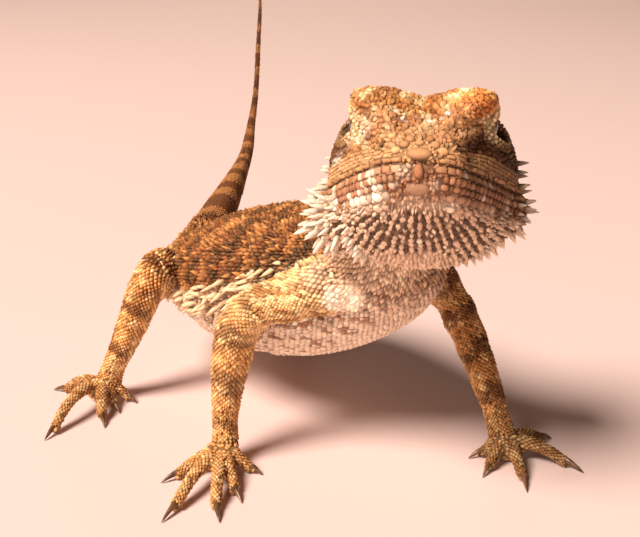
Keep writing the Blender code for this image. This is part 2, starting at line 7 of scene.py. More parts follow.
import bpy
import numpy as np
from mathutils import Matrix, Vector


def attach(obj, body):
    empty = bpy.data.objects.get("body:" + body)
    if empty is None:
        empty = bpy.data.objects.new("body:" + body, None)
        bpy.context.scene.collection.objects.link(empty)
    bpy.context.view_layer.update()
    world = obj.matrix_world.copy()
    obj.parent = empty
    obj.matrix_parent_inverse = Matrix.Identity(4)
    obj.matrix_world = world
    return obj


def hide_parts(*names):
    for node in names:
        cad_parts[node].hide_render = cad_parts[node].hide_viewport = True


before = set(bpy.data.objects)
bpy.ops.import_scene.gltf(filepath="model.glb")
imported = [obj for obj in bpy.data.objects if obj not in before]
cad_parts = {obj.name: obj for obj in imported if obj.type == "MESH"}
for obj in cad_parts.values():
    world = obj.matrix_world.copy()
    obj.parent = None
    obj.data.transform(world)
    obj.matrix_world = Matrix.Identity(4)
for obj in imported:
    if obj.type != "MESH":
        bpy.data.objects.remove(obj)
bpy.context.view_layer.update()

millimetre = 0.001
middle = np.array([21.0, 36.2, 0.0])       # the middle of the animal on the floor, in its own frame
rng = np.random.default_rng(11)


def tell(words):
    print("dragon:", words, flush=True)


def lengths(v):
    # the length of each row
    return np.linalg.norm(v, axis=1)


def unit(v):
    # every row of an array divided by its own length
    v = np.asarray(v, float)
    return v / np.maximum(np.linalg.norm(v, axis=-1, keepdims=True), 1e-12)


def dots(a, b):
    # row by row, the sum of a times b
    return np.einsum("ij,ij->i", a, b)


def runOf(points):
    # how far along its line each point lies: the running sum of the steps
    return np.concatenate([[0], np.cumsum(lengths(np.diff(points, axis=0)))])


def around(sides):
    # angles 2 pi k / sides
    return np.arange(sides) * 2 * math.pi / sides


def spline(at, rows, wanted):
    # cubic through the rows: on each stretch, the two ends weighted by (2u^3-3u^2+1) and (3u^2-2u^3),
    # and their slopes by (u^3-2u^2+u) and (u^3-u^2)
    at, rows, wanted = np.asarray(at, float), np.asarray(rows, float), np.asarray(wanted, float)
    step = np.diff(at)[:, None]
    slope = np.diff(rows, axis=0) / step
    inner = (slope[:-1] * step[1:] + slope[1:] * step[:-1]) / (step[1:] + step[:-1])
    slope = np.vstack([slope[:1], inner, slope[-1:]])
    k = np.clip(np.searchsorted(at, wanted, side="right") - 1, 0, len(at) - 2)
    h = step[k]
    u = (wanted - at[k])[:, None] / h
    curve = (2 * u**3 - 3 * u**2 + 1) * rows[k] + (3 * u**2 - 2 * u**3) * rows[k + 1]
    return curve + (u**3 - 2 * u**2 + u) * h * slope[k] + (u**3 - u**2) * h * slope[k + 1]


def ripple(points, size, seed, terms=9):
    # mean of sine waves in fixed random directions, size / 0.7 to size / 1.5 mm long: a soft pattern about 0
    wave = np.random.default_rng(seed)
    ways = unit(wave.normal(size=(terms, 3))) * wave.uniform(0.7, 1.5, (terms, 1)) * 2 * math.pi / size
    return np.sin(points @ ways.T + wave.uniform(0, 6.28, terms)).mean(1) * 1.9


def smooth(low, high, x):
    # 3u^2 - 2u^3 between low and high
    u = np.clip((x - low) / (high - low), 0, 1)
    return u * u * (3 - 2 * u)


def within(x, start, full, fade, end):
    # rises from start to full and falls from fade to end
    return smooth(start, full, x) * smooth(end, fade, x)


def bell(x, centre, wide, power=2):
    # exp(-((x - centre) / wide)^power)
    return np.exp(-(((x - centre) / wide) ** power))


def mix(a, b, share):
    # a + (b - a) share, with a share for each row
    return a + (b - a) * np.clip(share, 0, 1)[:, None]


# the shape of the animal
# every station: x, y, z of the path, half width, height above it, depth below it
trunk = {
    "stations": [
        (-0.6, -30.2, 42.2, 7.6, 3.6, 6.2), (0.2, -26.6, 36.8, 7.8, 5.6, 6.2),
        (0.1, -22.5, 30.8, 9.6, 7.4, 9.4),
        (0.0, -15.0, 26.4, 11.8, 9.8, 11.2), (0.0, -5.0, 23.2, 14.0, 11.0, 12.6),
        (0.0, 5.0, 21.2, 14.6, 10.4, 12.4), (0.0, 14.0, 19.2, 12.8, 8.8, 10.8),
        (0.0, 21.5, 17.4, 9.4, 6.6, 7.2), (0.4, 26.7, 16.4, 6.8, 5.4, 5.8), (2.7, 31.4, 16.9, 5.0, 4.3, 4.4),
        (7.6, 36.2, 18.6, 4.0, 3.7, 3.7), (14.4, 42.0, 21.0, 3.4, 3.2, 3.2),
        (27.1, 54.7, 23.6, 2.2, 2.15, 2.15),
        (39.8, 69.4, 25.2, 1.65, 1.6, 1.6), (47.2, 78.5, 28.3, 1.3, 1.3, 1.3),
        (53.7, 86.0, 32.9, 1.1, 1.1, 1.1),
        (64.9, 100.3, 42.9, 1.0, 1.0, 1.0), (75.1, 113.4, 54.4, 0.85, 0.85, 0.85),
        (79.5, 119.5, 60.5, 0.65, 0.65, 0.65)],
    "up": (0.0, 0.3, 1.0), "square": 2.25, "rings": 260, "sides": 48,
}
# every station of a limb: x, y, z of the path and the radius
limbShape = {"up": (0.3, 0.9, 0.35), "square": 2.1, "rings": 90, "sides": 32}
limbStations = {
    "armRight": [
        (-4.5, -21.5, 28.6, 4.4), (-8.6, -20.6, 27.9, 4.2), (-12.6, -17.0, 25.8, 3.3),
        (-15.9, -13.2, 23.6, 3.0),
        (-17.5, -11.7, 20.9, 3.0), (-18.6, -11.3, 16.6, 2.8), (-19.5, -11.1, 11.0, 2.2),
        (-20.0, -11.1, 6.2, 1.85), (-20.3, -11.6, 2.9, 2.0)],
    "armLeft": [
        (3.5, -21.0, 28.4, 4.2), (7.4, -22.2, 27.0, 3.8), (10.4, -23.0, 24.8, 3.1), (12.2, -24.2, 21.9, 2.7),
        (13.1, -26.2, 18.2, 2.6), (13.4, -28.8, 13.9, 2.35), (13.4, -31.5, 9.5, 2.05),
        (13.3, -33.5, 6.0, 1.85),
        (13.5, -34.6, 2.9, 2.1)],
    "legRight": [
        (-2.6, 25.6, 15.8, 4.7), (-6.9, 22.7, 17.4, 4.4), (-11.5, 18.6, 20.0, 3.7), (-15.0, 15.6, 21.5, 3.1),
        (-17.2, 15.3, 19.2, 2.9), (-19.3, 15.9, 14.5, 2.55), (-21.4, 16.9, 9.4, 2.1), (-22.7, 17.9, 6.0, 1.9),
        (-23.4, 18.9, 2.9, 2.1)],
    "legLeft": [
        (2.6, 25.6, 15.8, 4.7), (6.8, 23.4, 17.2, 4.4), (11.2, 20.2, 19.8, 3.7), (14.6, 18.2, 21.1, 3.0),
        (16.6, 18.8, 18.8, 2.8), (18.4, 21.2, 14.2, 2.55), (20.1, 24.2, 9.2, 2.1), (21.0, 26.0, 6.0, 1.9),
        (21.6, 27.0, 2.9, 2.1)],
}
# the middle of the palm or sole, its radii, how high the toes arch, then each toe's end of flesh and the point
# of its claw
feet = {
    "armRight": ((-21.5, -12.2), (2.8, 3.0), 0.08, [
        ((-19.0, -16.2), (-18.2, -17.7)), ((-24.2, -19.6), (-24.8, -22.2)), ((-28.6, -21.6), (-29.8, -24.3)),
        ((-32.9, -18.2), (-35.8, -19.6)), ((-28.3, -11.1), (-30.7, -10.7))]),
    "armLeft": ((13.5, -35.4), (2.7, 2.9), 0.08, [
        ((10.3, -33.4), (8.5, -32.7)), ((8.3, -36.9), (6.1, -37.8)), ((9.9, -41.8), (8.0, -44.4)),
        ((17.9, -43.1), (18.4, -45.9)), ((21.0, -35.9), (23.0, -36.2))]),
    "legRight": ((-24.4, 19.2), (2.6, 2.9), 0.14, [
        ((-21.6, 15.6), (-21.0, 14.0)), ((-24.8, 14.6), (-24.9, 12.5)), ((-28.3, 11.9), (-29.2, 9.4)),
        ((-36.1, 12.7), (-38.3, 11.4)), ((-28.3, 24.9), (-29.5, 27.2))]),
    "legLeft": ((22.6, 26.9), (2.5, 2.9), 0.14, [
        ((19.9, 23.0), (19.2, 21.4)), ((22.9, 21.9), (22.9, 19.8)), ((26.8, 19.8), (27.5, 17.3)),
        ((33.3, 21.6), (35.4, 20.1)), ((26.0, 32.9), (27.0, 35.2))]),
}
toeShape = {"outer": 0.94, "palmHeight": 1.9, "palmDepth": 2.1, "flesh": 4}     # outer toes are thinner

# the head is measured back from the tip of the snout, with its own left and up
head = {
    "snout": np.array([-15.8, -45.5, 51.3]), "yaw": 45.5, "pitch": 22.0, "length": 27.0,
    "at": [0, 2, 4, 6, 9, 12, 15, 18, 21, 24, 27],
    # half width at the mouth, height above it, depth below it
    "sizes": [
        (4.2, 2.6, 2.2), (5.0, 3.8, 3.4), (6.1, 5.4, 4.9), (7.3, 7.1, 6.3), (8.9, 9.4, 8.0),
        (10.3, 10.5, 9.2),
        (11.5, 10.8, 9.8), (12.2, 10.5, 9.6), (12.2, 9.6, 8.8), (11.0, 7.8, 7.6), (8.8, 5.4, 5.6)],
    "dome": 2.6, "mouthLevel": -0.8, "mouthCorner": 19.5, "above": 3.1, "below": 2.2,
    # each ridge: how square it is, then its stations
    "ridges": {
        "brow": (2.6, [
            (3.6, 2.6, 2.9, 1.3, 1.0), (6.0, 3.8, 5.2, 2.2, 1.5), (8.8, 5.0, 7.5, 3.3, 1.9),
            (12.0, 5.4, 8.4, 3.8, 2.1), (15.0, 5.6, 8.1, 3.7, 2.0), (18.5, 6.2, 6.4, 3.0, 1.8)]),
        "slope": (2.0, [
            (6.6, 2.0, 5.6, 1.6, 0.9), (9.0, 2.3, 7.75, 2.5, 1.15), (12.0, 2.5, 8.6, 2.9, 1.25),
            (15.0, 2.5, 8.55, 2.8, 1.15), (18.0, 2.4, 7.7, 2.2, 0.9)])},
    # on each side, measured outwards
    "jowl": {1: ((18.4, 9.2, -3.4), (4.2, 4.2, 4.8)), -1: ((19.0, 9.9, -5.0), (4.2, 4.7, 5.0))},
    "temple": ((17.8, 8.6, 2.6), (3.2, 3.6, 4.6)),
    "eye": (11.6, 6.4, 5.4), "eyeRadius": 2.45, "lids": (3.15, 2.95, 3.55),
    # the level of the crest from brow to nostril, at four distances from the snout
    "crestAt": (3.5, 6.0, 9.0, 12.0), "crestLevel": (2.6, 3.9, 6.0, 7.6),
}
turn, tip = math.radians(head["yaw"]), math.radians(head["pitch"])
headFront = np.array([-math.sin(turn) * math.cos(tip), -math.cos(turn) * math.cos(tip), math.sin(tip)])
headLeft = np.array([math.cos(turn), -math.sin(turn), 0.0])
headUp = -np.cross(headLeft, headFront)
headAxes = np.array([headLeft, headUp, headFront])
hollows = {
    # centre in the head, radii along left, up and front
    "opening": ((11.6, 9.0, 5.45), (2.3, 1.45, 2.3)),
    "nostril": ((2.7, 3.75, 1.25), (0.95, 0.55, 0.6)),
    "ear": ((21.6, 12.4, 1.4), (1.7, 1.9, 1.25)),
}


def inHead(s, v, w):
    # the snout's tip, less s along the front, plus v to the left and w up
    s, v, w = (np.asarray(q, float)[..., None] for q in (s, v, w))
    return head["snout"] - s * headFront + v * headLeft + w * headUp


def headPlace(points):
    # s, v and w of points, the other way round from inHead
    off = points - head["snout"]
    return -off @ headFront, off @ headLeft, off @ headUp


def inHollow(points, name, side, grow=1.0):
    # where points lie in a hollow of the head, measured in its radii: shorter than 1 is inside
    (s, v, w), radii = hollows[name]
    return ((points - inHead(s, v * side, w)) @ headAxes.T) / (np.array(radii) * grow)


def mouthHeight(s):
    # the line of the mouth sinks 0.06 for each mm back, and turns up near its corner
    return head["mouthLevel"] - 0.06 * s + 0.5 * np.clip((s - 15) / 5, 0, 1) ** 2


def crestHeight(s):
    # straight between the named levels
    return np.interp(s, head["crestAt"], head["crestLevel"])


def superEllipse(a, square, size):
    # left W cos^(2/n) a, and up H sin^(2/n) a, or D in place of H below the path
    c, s = np.cos(a), np.sin(a)
    across = np.sign(c) * np.abs(c) ** (2 / square) * size[:, 0]
    return across, np.sign(s) * np.abs(s) ** (2 / square) * np.where(s > 0, size[:, 1], size[:, 2])


def tubeForm(stations, up, square, swell=0.0):
    # a form that tubeAt can read: stations along their running length
    rows = np.array([r if len(r) == 6 else (*r, r[3], r[3]) for r in stations], float)
    rows[:, 3:] += swell
    return {"rows": rows, "along": runOf(rows[:, :3]), "up": np.asarray(up, float), "square": square}


def tubePath(form, t, step=0.05):
    # at a length t along the form: path, way along it, left, up, and the three sizes
    row = spline(form["along"], form["rows"], t)
    ahead = spline(form["along"], form["rows"], np.minimum(t + step, form["along"][-1]))
    behind = spline(form["along"], form["rows"], np.maximum(t - step, 0))
    way = unit(ahead[:, :3] - behind[:, :3])
    up = unit(form["up"] - way * (way @ form["up"])[:, None])
    return row[:, :3], way, np.cross(way, up), up, row[:, 3:]


def tubeAt(form, t, a):
    # surface point: path + left across + up above, a superellipse carried along the path
    path, _, left, up, size = tubePath(form, t)
    across, above = superEllipse(a, form["square"], size)
    return path + left * across[:, None] + up * above[:, None]


def tubeGrid(form, rings, sides):
    # rings of tubeAt, with three smaller rings at each end on a quarter circle, and a point that closes it
    t = np.linspace(0, form["along"][-1], rings)
    body = tubeAt(form, np.repeat(t, sides), np.tile(around(sides), rings)).reshape(rings, sides, 3)
    path, way, _, _, size = tubePath(form, t[[0, -1]])
    reach = size.min(1) * 0.8
    caps = []
    for end, sign, ring in ((0, -1, body[0]), (1, 1, body[-1])):
        angle = np.radians([30, 58, 80][::sign])
        rim = path[end] + (ring - path[end]) * np.cos(angle)[:, None, None]
        caps.append(rim + sign * way[end] * (reach[end] * np.sin(angle))[:, None, None])
    ends = path[0] - way[0] * reach[0], path[1] + way[1] * reach[1]
    return np.concatenate([caps[0], body, caps[1]]), ends


def ballGrid(centre, axes, radii, rings=26, sides=36):
    # centre + sum of axis * radius * (sin a cos b, sin a sin b, cos a)
    a, b = np.linspace(0, math.pi, rings + 2)[1:-1, None], around(sides)[None]
    local = np.stack([np.sin(a) * np.cos(b), np.sin(a) * np.sin(b), np.cos(a) + 0 * b], -1)
    pole = axes[2] * radii[2]
    return centre + (local * radii) @ axes, (centre + pole, centre - pole)


def headSection(s, swell=0.0):
    # half width, height and depth at s, closed by a quarter-ellipse dome at the snout, eased in at the back
    size = spline(head["at"], head["sizes"], s)
    dome = np.sqrt(1 - (1 - np.clip(s / head["dome"], 0, 1)) ** 2)
    back = np.sqrt(1 - np.clip((s - 23.5) / 4.2, 0, 1) ** 2 * 0.85)
    return size * (dome * back)[:, None] + swell


def headAt(s, a, swell=0.0):
    # in the head: s back, across to the left, and above the line of the mouth; boxier above the mouth
    square = np.where(np.sin(a) > 0, head["above"], head["below"])
    across, above = superEllipse(a, square, headSection(s, swell))
    return inHead(s, across, mouthHeight(s) + above)


def headGrid(swell, rings=64, sides=72):
    # sections closer together at the snout: s = L (0.35 q + 0.65 q^1.9)
    q = np.linspace(0, 1, rings)
    s = head["length"] * (0.35 * q + 0.65 * q**1.9) + 0.03
    body = headAt(np.repeat(s, sides), np.tile(around(sides), rings), swell).reshape(rings, sides, 3)
    return body, (inHead(-0.02, 0, head["mouthLevel"] + 0.2), inHead(27.5, 0, -0.5))


def toeForm(name, k, swell=0.0):
    # one toe and its claw as a single tube, from the middle of the palm to the claw's point
    centre, _, arch, toes = feet[name]
    centre, end, point = np.array(centre), np.array(toes[k][0]), np.array(toes[k][1])
    thick = toeShape["outer"] if k in (0, 4) else 1.0
    reach = end - centre
    high = 1.6 + arch * np.linalg.norm(reach)
    rows = [
        (*centre, 2.3, 1.25 * thick), (*(centre + reach * 0.42), high + 0.5, 0.98 * thick),
        (*(centre + reach * 0.74), high - 0.3, 0.84 * thick), (*end, 0.78 * thick, 0.78 * thick),
        (*(end + (point - end) * 0.45), 1.0, 0.46), (*point, 0.32, 0.15)]
    return tubeForm(rows, (0, 0, 1), 2.0, swell)


# meshes
def makeMesh(name, verts, faces):
    # a mesh of smooth triangles straight from arrays
    mesh = bpy.data.meshes.new(name)
    mesh.vertices.add(len(verts))
    mesh.vertices.foreach_set("co", ((verts - middle) * millimetre).astype(np.float32).ravel())
    mesh.loops.add(faces.size)
    mesh.loops.foreach_set("vertex_index", faces.astype(np.int32).ravel())
    mesh.polygons.add(len(faces))
    mesh.polygons.foreach_set("loop_start", np.arange(0, faces.size, 3, dtype=np.int32))
    mesh.update(calc_edges=True)
    mesh.polygons.foreach_set("use_smooth", np.ones(len(faces), bool))
    return mesh


def makeObject(name, data):
    piece = bpy.data.objects.new(name, data)
    bpy.context.scene.collection.objects.link(piece)
    return piece


def setTint(mesh, colour):
    # the colours that the materials read
    tint = mesh.attributes.new("tint", "FLOAT_COLOR", "POINT")
    tint.data.foreach_set("color", np.column_stack([colour, np.ones(len(colour))]).astype(np.float32).ravel())


def stitch(grids):
    # one list of triangles for several closed grids: two for each cell and a fan at each end
    verts, faces, start = [], [], 0
    for grid, ends in grids:
        rings, sides = grid.shape[:2]
        cell = start + np.arange(rings * sides).reshape(rings, sides)
        side = np.roll(cell, -1, axis=1)
        a, b, c, d = cell[:-1], side[:-1], side[1:], cell[1:]
        first, last = np.full(sides, start + rings * sides), np.full(sides, start + rings * sides + 1)
        corners = [(a, b, c), (a, c, d), (side[0], cell[0], first), (cell[-1], side[-1], last)]
        tris = np.concatenate([np.stack(trio, -1).reshape(-1, 3) for trio in corners])
        block = np.vstack([grid.reshape(-1, 3), np.array(ends)])
        # a grid may wind either way: its volume says which
        p = block[tris - start] - block.mean(0)
        if dots(p[:, 0], np.cross(p[:, 1], p[:, 2])).sum() < 0:
            tris = tris[:, ::-1]
        verts.append(block)
        faces.append(tris)
        start += len(block)
    return np.vstack(verts), np.vstack(faces)


def applied(piece):
    # the mesh with its modifiers worked in
    depsgraph = bpy.context.evaluated_depsgraph_get()
    mesh = bpy.data.meshes.new_from_object(piece.evaluated_get(depsgraph))
    piece.modifiers.clear()
    old, piece.data = piece.data, mesh
    bpy.data.meshes.remove(old)


def readRows(items, field, wide=3, kind=np.float32):
    flat = np.empty(len(items) * wide, kind)
    items.foreach_get(field, flat)
    return flat.reshape(-1, wide)


def coordinates(mesh):
    return readRows(mesh.vertices, "co").astype(float) / millimetre + middle


def setCoordinates(mesh, points):
    mesh.vertices.foreach_set("co", ((points - middle) * millimetre).astype(np.float32).ravel())
    mesh.update()


def normalsOf(mesh):
    return readRows(mesh.vertex_normals, "vector").astype(float)


# the skin: every form is smaller than its solid by the depth of its coat
skinShape = {
    "voxel": 0.43, "depthBody": 0.42, "depthHead": 0.34, "depthLimb": 0.24, "depthToe": 0.14,
    "depthPalm": 0.1, "rounds": 9, "lowest": 0.12}
trunkForm = tubeForm(trunk["stations"], trunk["up"], trunk["square"], -skinShape["depthBody"])
limbForms = {name: tubeForm(rows, limbShape["up"], limbShape["square"], -skinShape["depthLimb"])
             for name, rows in limbStations.items()}
toeForms = {(name, k): toeForm(name, k, -skinShape["depthToe"]) for name in feet for k in range(5)}
trunkSurface = partial(tubeAt, trunkForm)
headSurface = partial(headAt, swell=-skinShape["depthHead"])


def fleshOnly(form):
    # the toe's form without its claw
    return {**form, "rows": form["rows"][:toeShape["flesh"]], "along": form["along"][:toeShape["flesh"]]}


def skinGrids():
    depth = skinShape["depthHead"]
    grids = [tubeGrid(trunkForm, trunk["rings"], trunk["sides"]), headGrid(-depth)]
    for side in (1, -1):
        for square, stations in head["ridges"].values():
            rows = [(*inHead(s, v * side, w), wide, tall, tall) for s, v, w, wide, tall in stations]
            grids.append(tubeGrid(tubeForm(rows, headUp, square, -depth), 30, 28))
        for (s, v, w), radii in ((head["eye"], head["lids"]), head["temple"], head["jowl"][side]):
            grids.append(ballGrid(inHead(s, v * side, w), headAxes, np.array(radii) - depth))
    for name, form in limbForms.items():
        grids.append(tubeGrid(form, limbShape["rings"], limbShape["sides"]))
        (x, y), (wide, deep), _, _ = feet[name]
        palm = np.array((wide, deep, toeShape["palmDepth"])) - skinShape["depthPalm"]
        grids.append(ballGrid(np.array((x, y, toeShape["palmHeight"])), np.eye(3), palm))
        for k in range(5):
            grids.append(tubeGrid(fleshOnly(toeForms[name, k]), 40, 20))
    return grids


def relaxed(points, edges, rounds):
    # each round moves every point 0.5 of the way to the mean of its neighbours, then 0.52 of the way back out
    a, b = edges[:, 0], edges[:, 1]
    n = len(points)
    many = np.bincount(a, minlength=n) + np.bincount(b, minlength=n)
    for step in [0.5, -0.52] * rounds:
        total = [np.bincount(a, points[b, i], n) + np.bincount(b, points[a, i], n) for i in range(3)]
        points = points + step * (np.stack(total, 1) / many[:, None] - points)
    return points


def hollowed(points, normals):
    # a point inside a hollow goes in along its normal to the far wall: the larger root t of
    # |place - t normal| = 1, both measured in the hollow's radii
    for name, side in itertools.product(hollows, (1, -1)):
        off = inHollow(points, name, side)
        way = -(normals @ headAxes.T) / hollows[name][1]
        a, b, c = dots(way, way), dots(way, off), dots(off, off) - 1
        t = (-b + np.sqrt(np.maximum(b * b - a * c, 0))) / a
        points = points - np.where(c < 0, t, 0)[:, None] * normals
    return points


def folded(points, normals):
    # out along the normal by a sum of bells: the mouth's line and its lower edge, the rims of the lids, the
    # crest and the hollow below it, and waves of loose skin on neck and flanks
    s, v, w = headPlace(points)
    nearHead = (s > -1.0) & (s < head["mouthCorner"]) & (np.abs(v) < 14) & (np.abs(w) < 6)
    line = w - mouthHeight(s)
    out = -0.42 * bell(line, 0.0, 0.3) * nearHead * np.clip((head["mouthCorner"] - s) / 2, 0, 1)
    out += 0.16 * bell(line, 0.55, 0.4) * nearHead
    es, _, ew = head["eye"]
    rim = np.sqrt(((s - es) / 2.45) ** 2 + ((w - ew - 0.05) / 1.65) ** 2)
    for side in (1, -1):
        out += 0.32 * bell(rim, 1.08, 0.16) * (v * side > 5.5) * (np.abs(s - es) < 5)
    high = w - crestHeight(s)
    lore = within(s, 2.2, 4.0, 8.0, 10.5) * smooth(2.0, 4.0, np.abs(v))
    dip = 0.75 * bell(high, -1.9, 1.2) * smooth(7.5, 6.0, np.abs(s - 6.5) + 3.0)
    out += lore * (0.22 * bell(high, 0.0, 0.5) - dip)
    x, y, z = points.T
    body = smooth(-33, -24, y) * (1 - smooth(20, 27, y)) * (np.abs(x) < 15)
    offHead = smooth(26, 30, s) + smooth(-9, -13, w)
    wave = np.sin(y * 1.25 + z * 0.75 + 1.3 * ripple(points, 9.0, 3)) * 0.16
    out += wave * body * np.clip(offHead, 0, 1) * smooth(3, 8, np.abs(x))
    return points + out[:, None] * normals


def makeSkin():
    piece = makeObject("skin", makeMesh("skin", *stitch(skinGrids())))
    remesh = piece.modifiers.new("one surface", "REMESH")
    remesh.mode, remesh.voxel_size, remesh.adaptivity = "VOXEL", skinShape["voxel"] * millimetre, 0.0
    applied(piece)
    mesh = piece.data
    edges = readRows(mesh.edges, "vertices", 2, np.int32)
    setCoordinates(mesh, relaxed(coordinates(mesh), edges, skinShape["rounds"]))
    setCoordinates(mesh, folded(coordinates(mesh), normalsOf(mesh)))
    setCoordinates(mesh, hollowed(coordinates(mesh), normalsOf(mesh)))
    # nothing sinks into the floor
    setCoordinates(mesh, np.maximum(coordinates(mesh), (-np.inf, -np.inf, skinShape["lowest"])))
    mesh.polygons.foreach_set("use_smooth", np.ones(len(mesh.polygons), bool))
    return piece


skin = makeSkin()
tell(f"skin {len(skin.data.vertices)} points")


# where the coat's pieces sit
settling = {"throw": 4.0, "longest": 2.2, "shortest": 0.35, "step": 0.3, "angleStep": 0.02}
taken = {"size": 0.42, "start": 400, "span": 2000, "cells": np.empty(0, np.int64)}


def pick(places, mask):
    return {key: value[mask] for key, value in places.items()}


def settle(centre, ahead, side, limit, cell, t, a):
    # three points a place, thrown along the normal of their triangle on to the skin, then to its nearest
    # point; keeps the places that moved less than the limit, with their roots and frames (lie, across, out)
    n = len(centre)
    row = np.arange(n)
    corners = np.concatenate([centre, ahead, side])
    probe = makeObject("probe", makeMesh("probe", corners, np.stack([row, n + row, 2 * n + row], 1)))
    throw = probe.modifiers.new("throw", "SHRINKWRAP")
    throw.target, throw.wrap_method, throw.project_limit = skin, "PROJECT", settling["throw"] * millimetre
    throw.use_negative_direction = throw.use_positive_direction = True
    near = probe.modifiers.new("near", "SHRINKWRAP")
    near.target, near.wrap_method = skin, "NEAREST_SURFACEPOINT"
    applied(probe)
    mesh = probe.data
    root, toAhead, toSide = coordinates(mesh).reshape(3, n, 3)
    bpy.data.objects.remove(probe)
    bpy.data.meshes.remove(mesh)
    way, across = toAhead - root, toSide - root
    lie, out = unit(way), unit(np.cross(way, across))
    good = lengths(root - centre) < limit
    for now, before in ((way, ahead - centre), (across, side - centre)):
        good &= lengths(now) < settling["longest"] * lengths(before)
        good &= lengths(now) > settling["shortest"] * lengths(before)
    good &= dots(out, np.cross(ahead - centre, side - centre)) > 0
    axes = np.stack([lie, np.cross(out, lie), out], 1)
    return pick({"root": root, "axes": axes, "cell": cell, "t": t, "a": a}, good)


def stepTo(centre, point):
    # one short step from the centre towards another point
    return centre + unit(point - centre) * settling["step"]


def seated(surface, t, a, cell, limit=1.2):
    # the places of a set given by t and a on a form, with the size of each cell
    centre = surface(t, a)
    ahead = stepTo(centre, surface(t + settling["step"], a))
    side = stepTo(centre, surface(t, a + settling["angleStep"]))
    return settle(centre, ahead, side, limit, cell, t, a)


def evenAngles(surface, t, count, shift, low=0.0, high=2 * math.pi, fine=241):
    # angles that part the curve surface(t, a), low < a < high, into count stretches of one length
    a = np.linspace(low, high, fine)
    run = runOf(surface(np.full(fine, t), a))
    wanted = (np.arange(count) + 0.5 + shift) % count / count
    return np.interp(wanted * run[-1], run, a), run[-1]


def rowsOn(surface, start, stop, count, stretch, jitter=0.05):
    # staggered rows round a form, each half a stretch of the spacing in the row after the last
    rows, t, shift = [], start, -0.25
    while t < stop:
        a, run = evenAngles(surface, t, count, shift)
        pace = run / count
        rows.append((t + rng.normal(0, jitter * pace, count), a, np.full(count, pace)))
        t, shift = t + pace * stretch * 0.5, -shift
    return np.concatenate(rows, axis=1)


def cellsOf(points, size, shift=(0, 0, 0)):
    # one whole number for the cube of space that a point is in
    q = np.floor(points / size).astype(np.int64) + taken["start"] + np.array(shift)
    return (q[:, 0] * taken["span"] + q[:, 1]) * taken["span"] + q[:, 2]


def firstOf(code):
    # the first place of each number in a list
    return np.unique(code, return_index=True)[1]


def claim(places):
    # keeps the places whose cube of space is still free, one place a cube, and takes those cubes
    code = cellsOf(places["root"], taken["size"])
    only = np.zeros(len(code), bool)
    only[firstOf(code)] = True
    keep = only & ~np.isin(code, taken["cells"])
    taken["cells"] = np.union1d(taken["cells"], code[keep])
    return pick(places, keep)


# the shapes of one scale and one spine, one unit long, wide and high: x towards the tail or the toes, y across,
# z out
def ringAngles(sides):
    return np.linspace(0, 2 * math.pi, sides + 1)[:-1]


outlines = {name: [(0.5 * math.cos(a), 0.5 * math.sin(a)) for a in ringAngles(sides)]
            for name, sides in (("round", 6), ("oval", 12))}
outlines["rhomb"] = [(0.66, 0.0), (0.12, 0.48), (-0.44, 0.32), (-0.56, 0.0), (-0.44, -0.32), (0.12, -0.48)]
outlines["square"] = [(x * sign, y * sign) for sign in (1, -1)
                      for x, y in ((0.5, 0.2), (0.42, 0.42), (-0.42, 0.42), (-0.5, 0.2))]
stacks = {
    # outline, the scale, height, tilt and shift of each ring, and the tip
    "granule": ("round", [(0.98, -0.6), (0.98, 0.4, 0.2), (0.62, 0.86, 0.3)], (0.05, 0, 1.0)),
    "dome": ("oval", [(1.0, -0.6), (0.99, 0.2), (0.84, 0.62), (0.5, 0.9)], (0, 0, 1.0)),
    "keeled": ("rhomb", [(0.9, -0.5), (1.0, 0.22, 0.45), (0.55, 0.62, 0.7, 0.08)], (0.3, 0, 1.15)),
    "plate": ("square", [(0.94, -0.5), (0.98, 0.35, 0.1), (0.7, 0.8, 0.1)], (0, 0, 0.92)),
    "bract": ("rhomb", [(0.85, -0.6), (0.98, 0.25, 0.3), (0.5, 0.8, 0.8, 0.15)], (0.62, 0, 1.35)),
    "spine": ("round", [(1.1, -0.12), (1.0, 0.05), (0.66, 0.48, 0, 0.1), (0.32, 0.8, 0, 0.27)],
              (0.42, 0, 1.0)),
}
# the leaf-like scales of the fringe: x, z, half width and half thickness of each ring
lanceRings = ((-0.08, 0.0, 0.34, 0.3), (0.2, 0.22, 0.5, 0.4), (0.6, 0.52, 0.34, 0.3))


def closedForm(rings, tip):
    # a stack of rings of one length, closed by a fan below and by the tip above
    rings = np.array(rings, float)
    levels, sides = rings.shape[:2]
    cell = np.arange(levels * sides).reshape(levels, sides)
    side = np.roll(cell, -1, axis=1)
    bands = [np.stack([cell[k], side[k], side[k + 1], cell[k], side[k + 1], cell[k + 1]], 1).reshape(-1, 3)
             for k in range(levels - 1)]
    top = np.stack([cell[-1], side[-1], np.full(sides, levels * sides)], 1)
    bottom = np.stack([np.full(sides - 2, cell[0, 0]), cell[0, 2:], cell[0, 1:-1]], 1)
    return np.vstack([rings.reshape(-1, 3), [tip]]), np.vstack(bands + [top, bottom])


def ringOf(outline, scale, z, tilt=0.0, shift=0.0):
    # the outline times its scale, at z + tilt x
    outline = np.array(outline, float) * scale
    return np.column_stack([outline[:, 0] + shift, outline[:, 1], z + tilt * outline[:, 0]])


def lanceRing(x, z, wide, thick, sides=6):
    # an upright ring: wide cos a across, and thick sin a up
    a = ringAngles(sides)
    return np.column_stack([np.full(sides, x), wide * np.cos(a), z + thick * np.sin(a)])


templates = {name: closedForm([ringOf(outlines[outline], *ring) for ring in rings], point)
             for name, (outline, rings, point) in stacks.items()}
templates["lance"] = closedForm([lanceRing(*ring) for ring in lanceRings], (1.0, 0, 1.0))
coats = {}                                 # for each coat piece, the blocks that make it up
patchSize = 0.003 * 0.5                    # half of a scale's patch in the bake, for the widest outline, 0.66


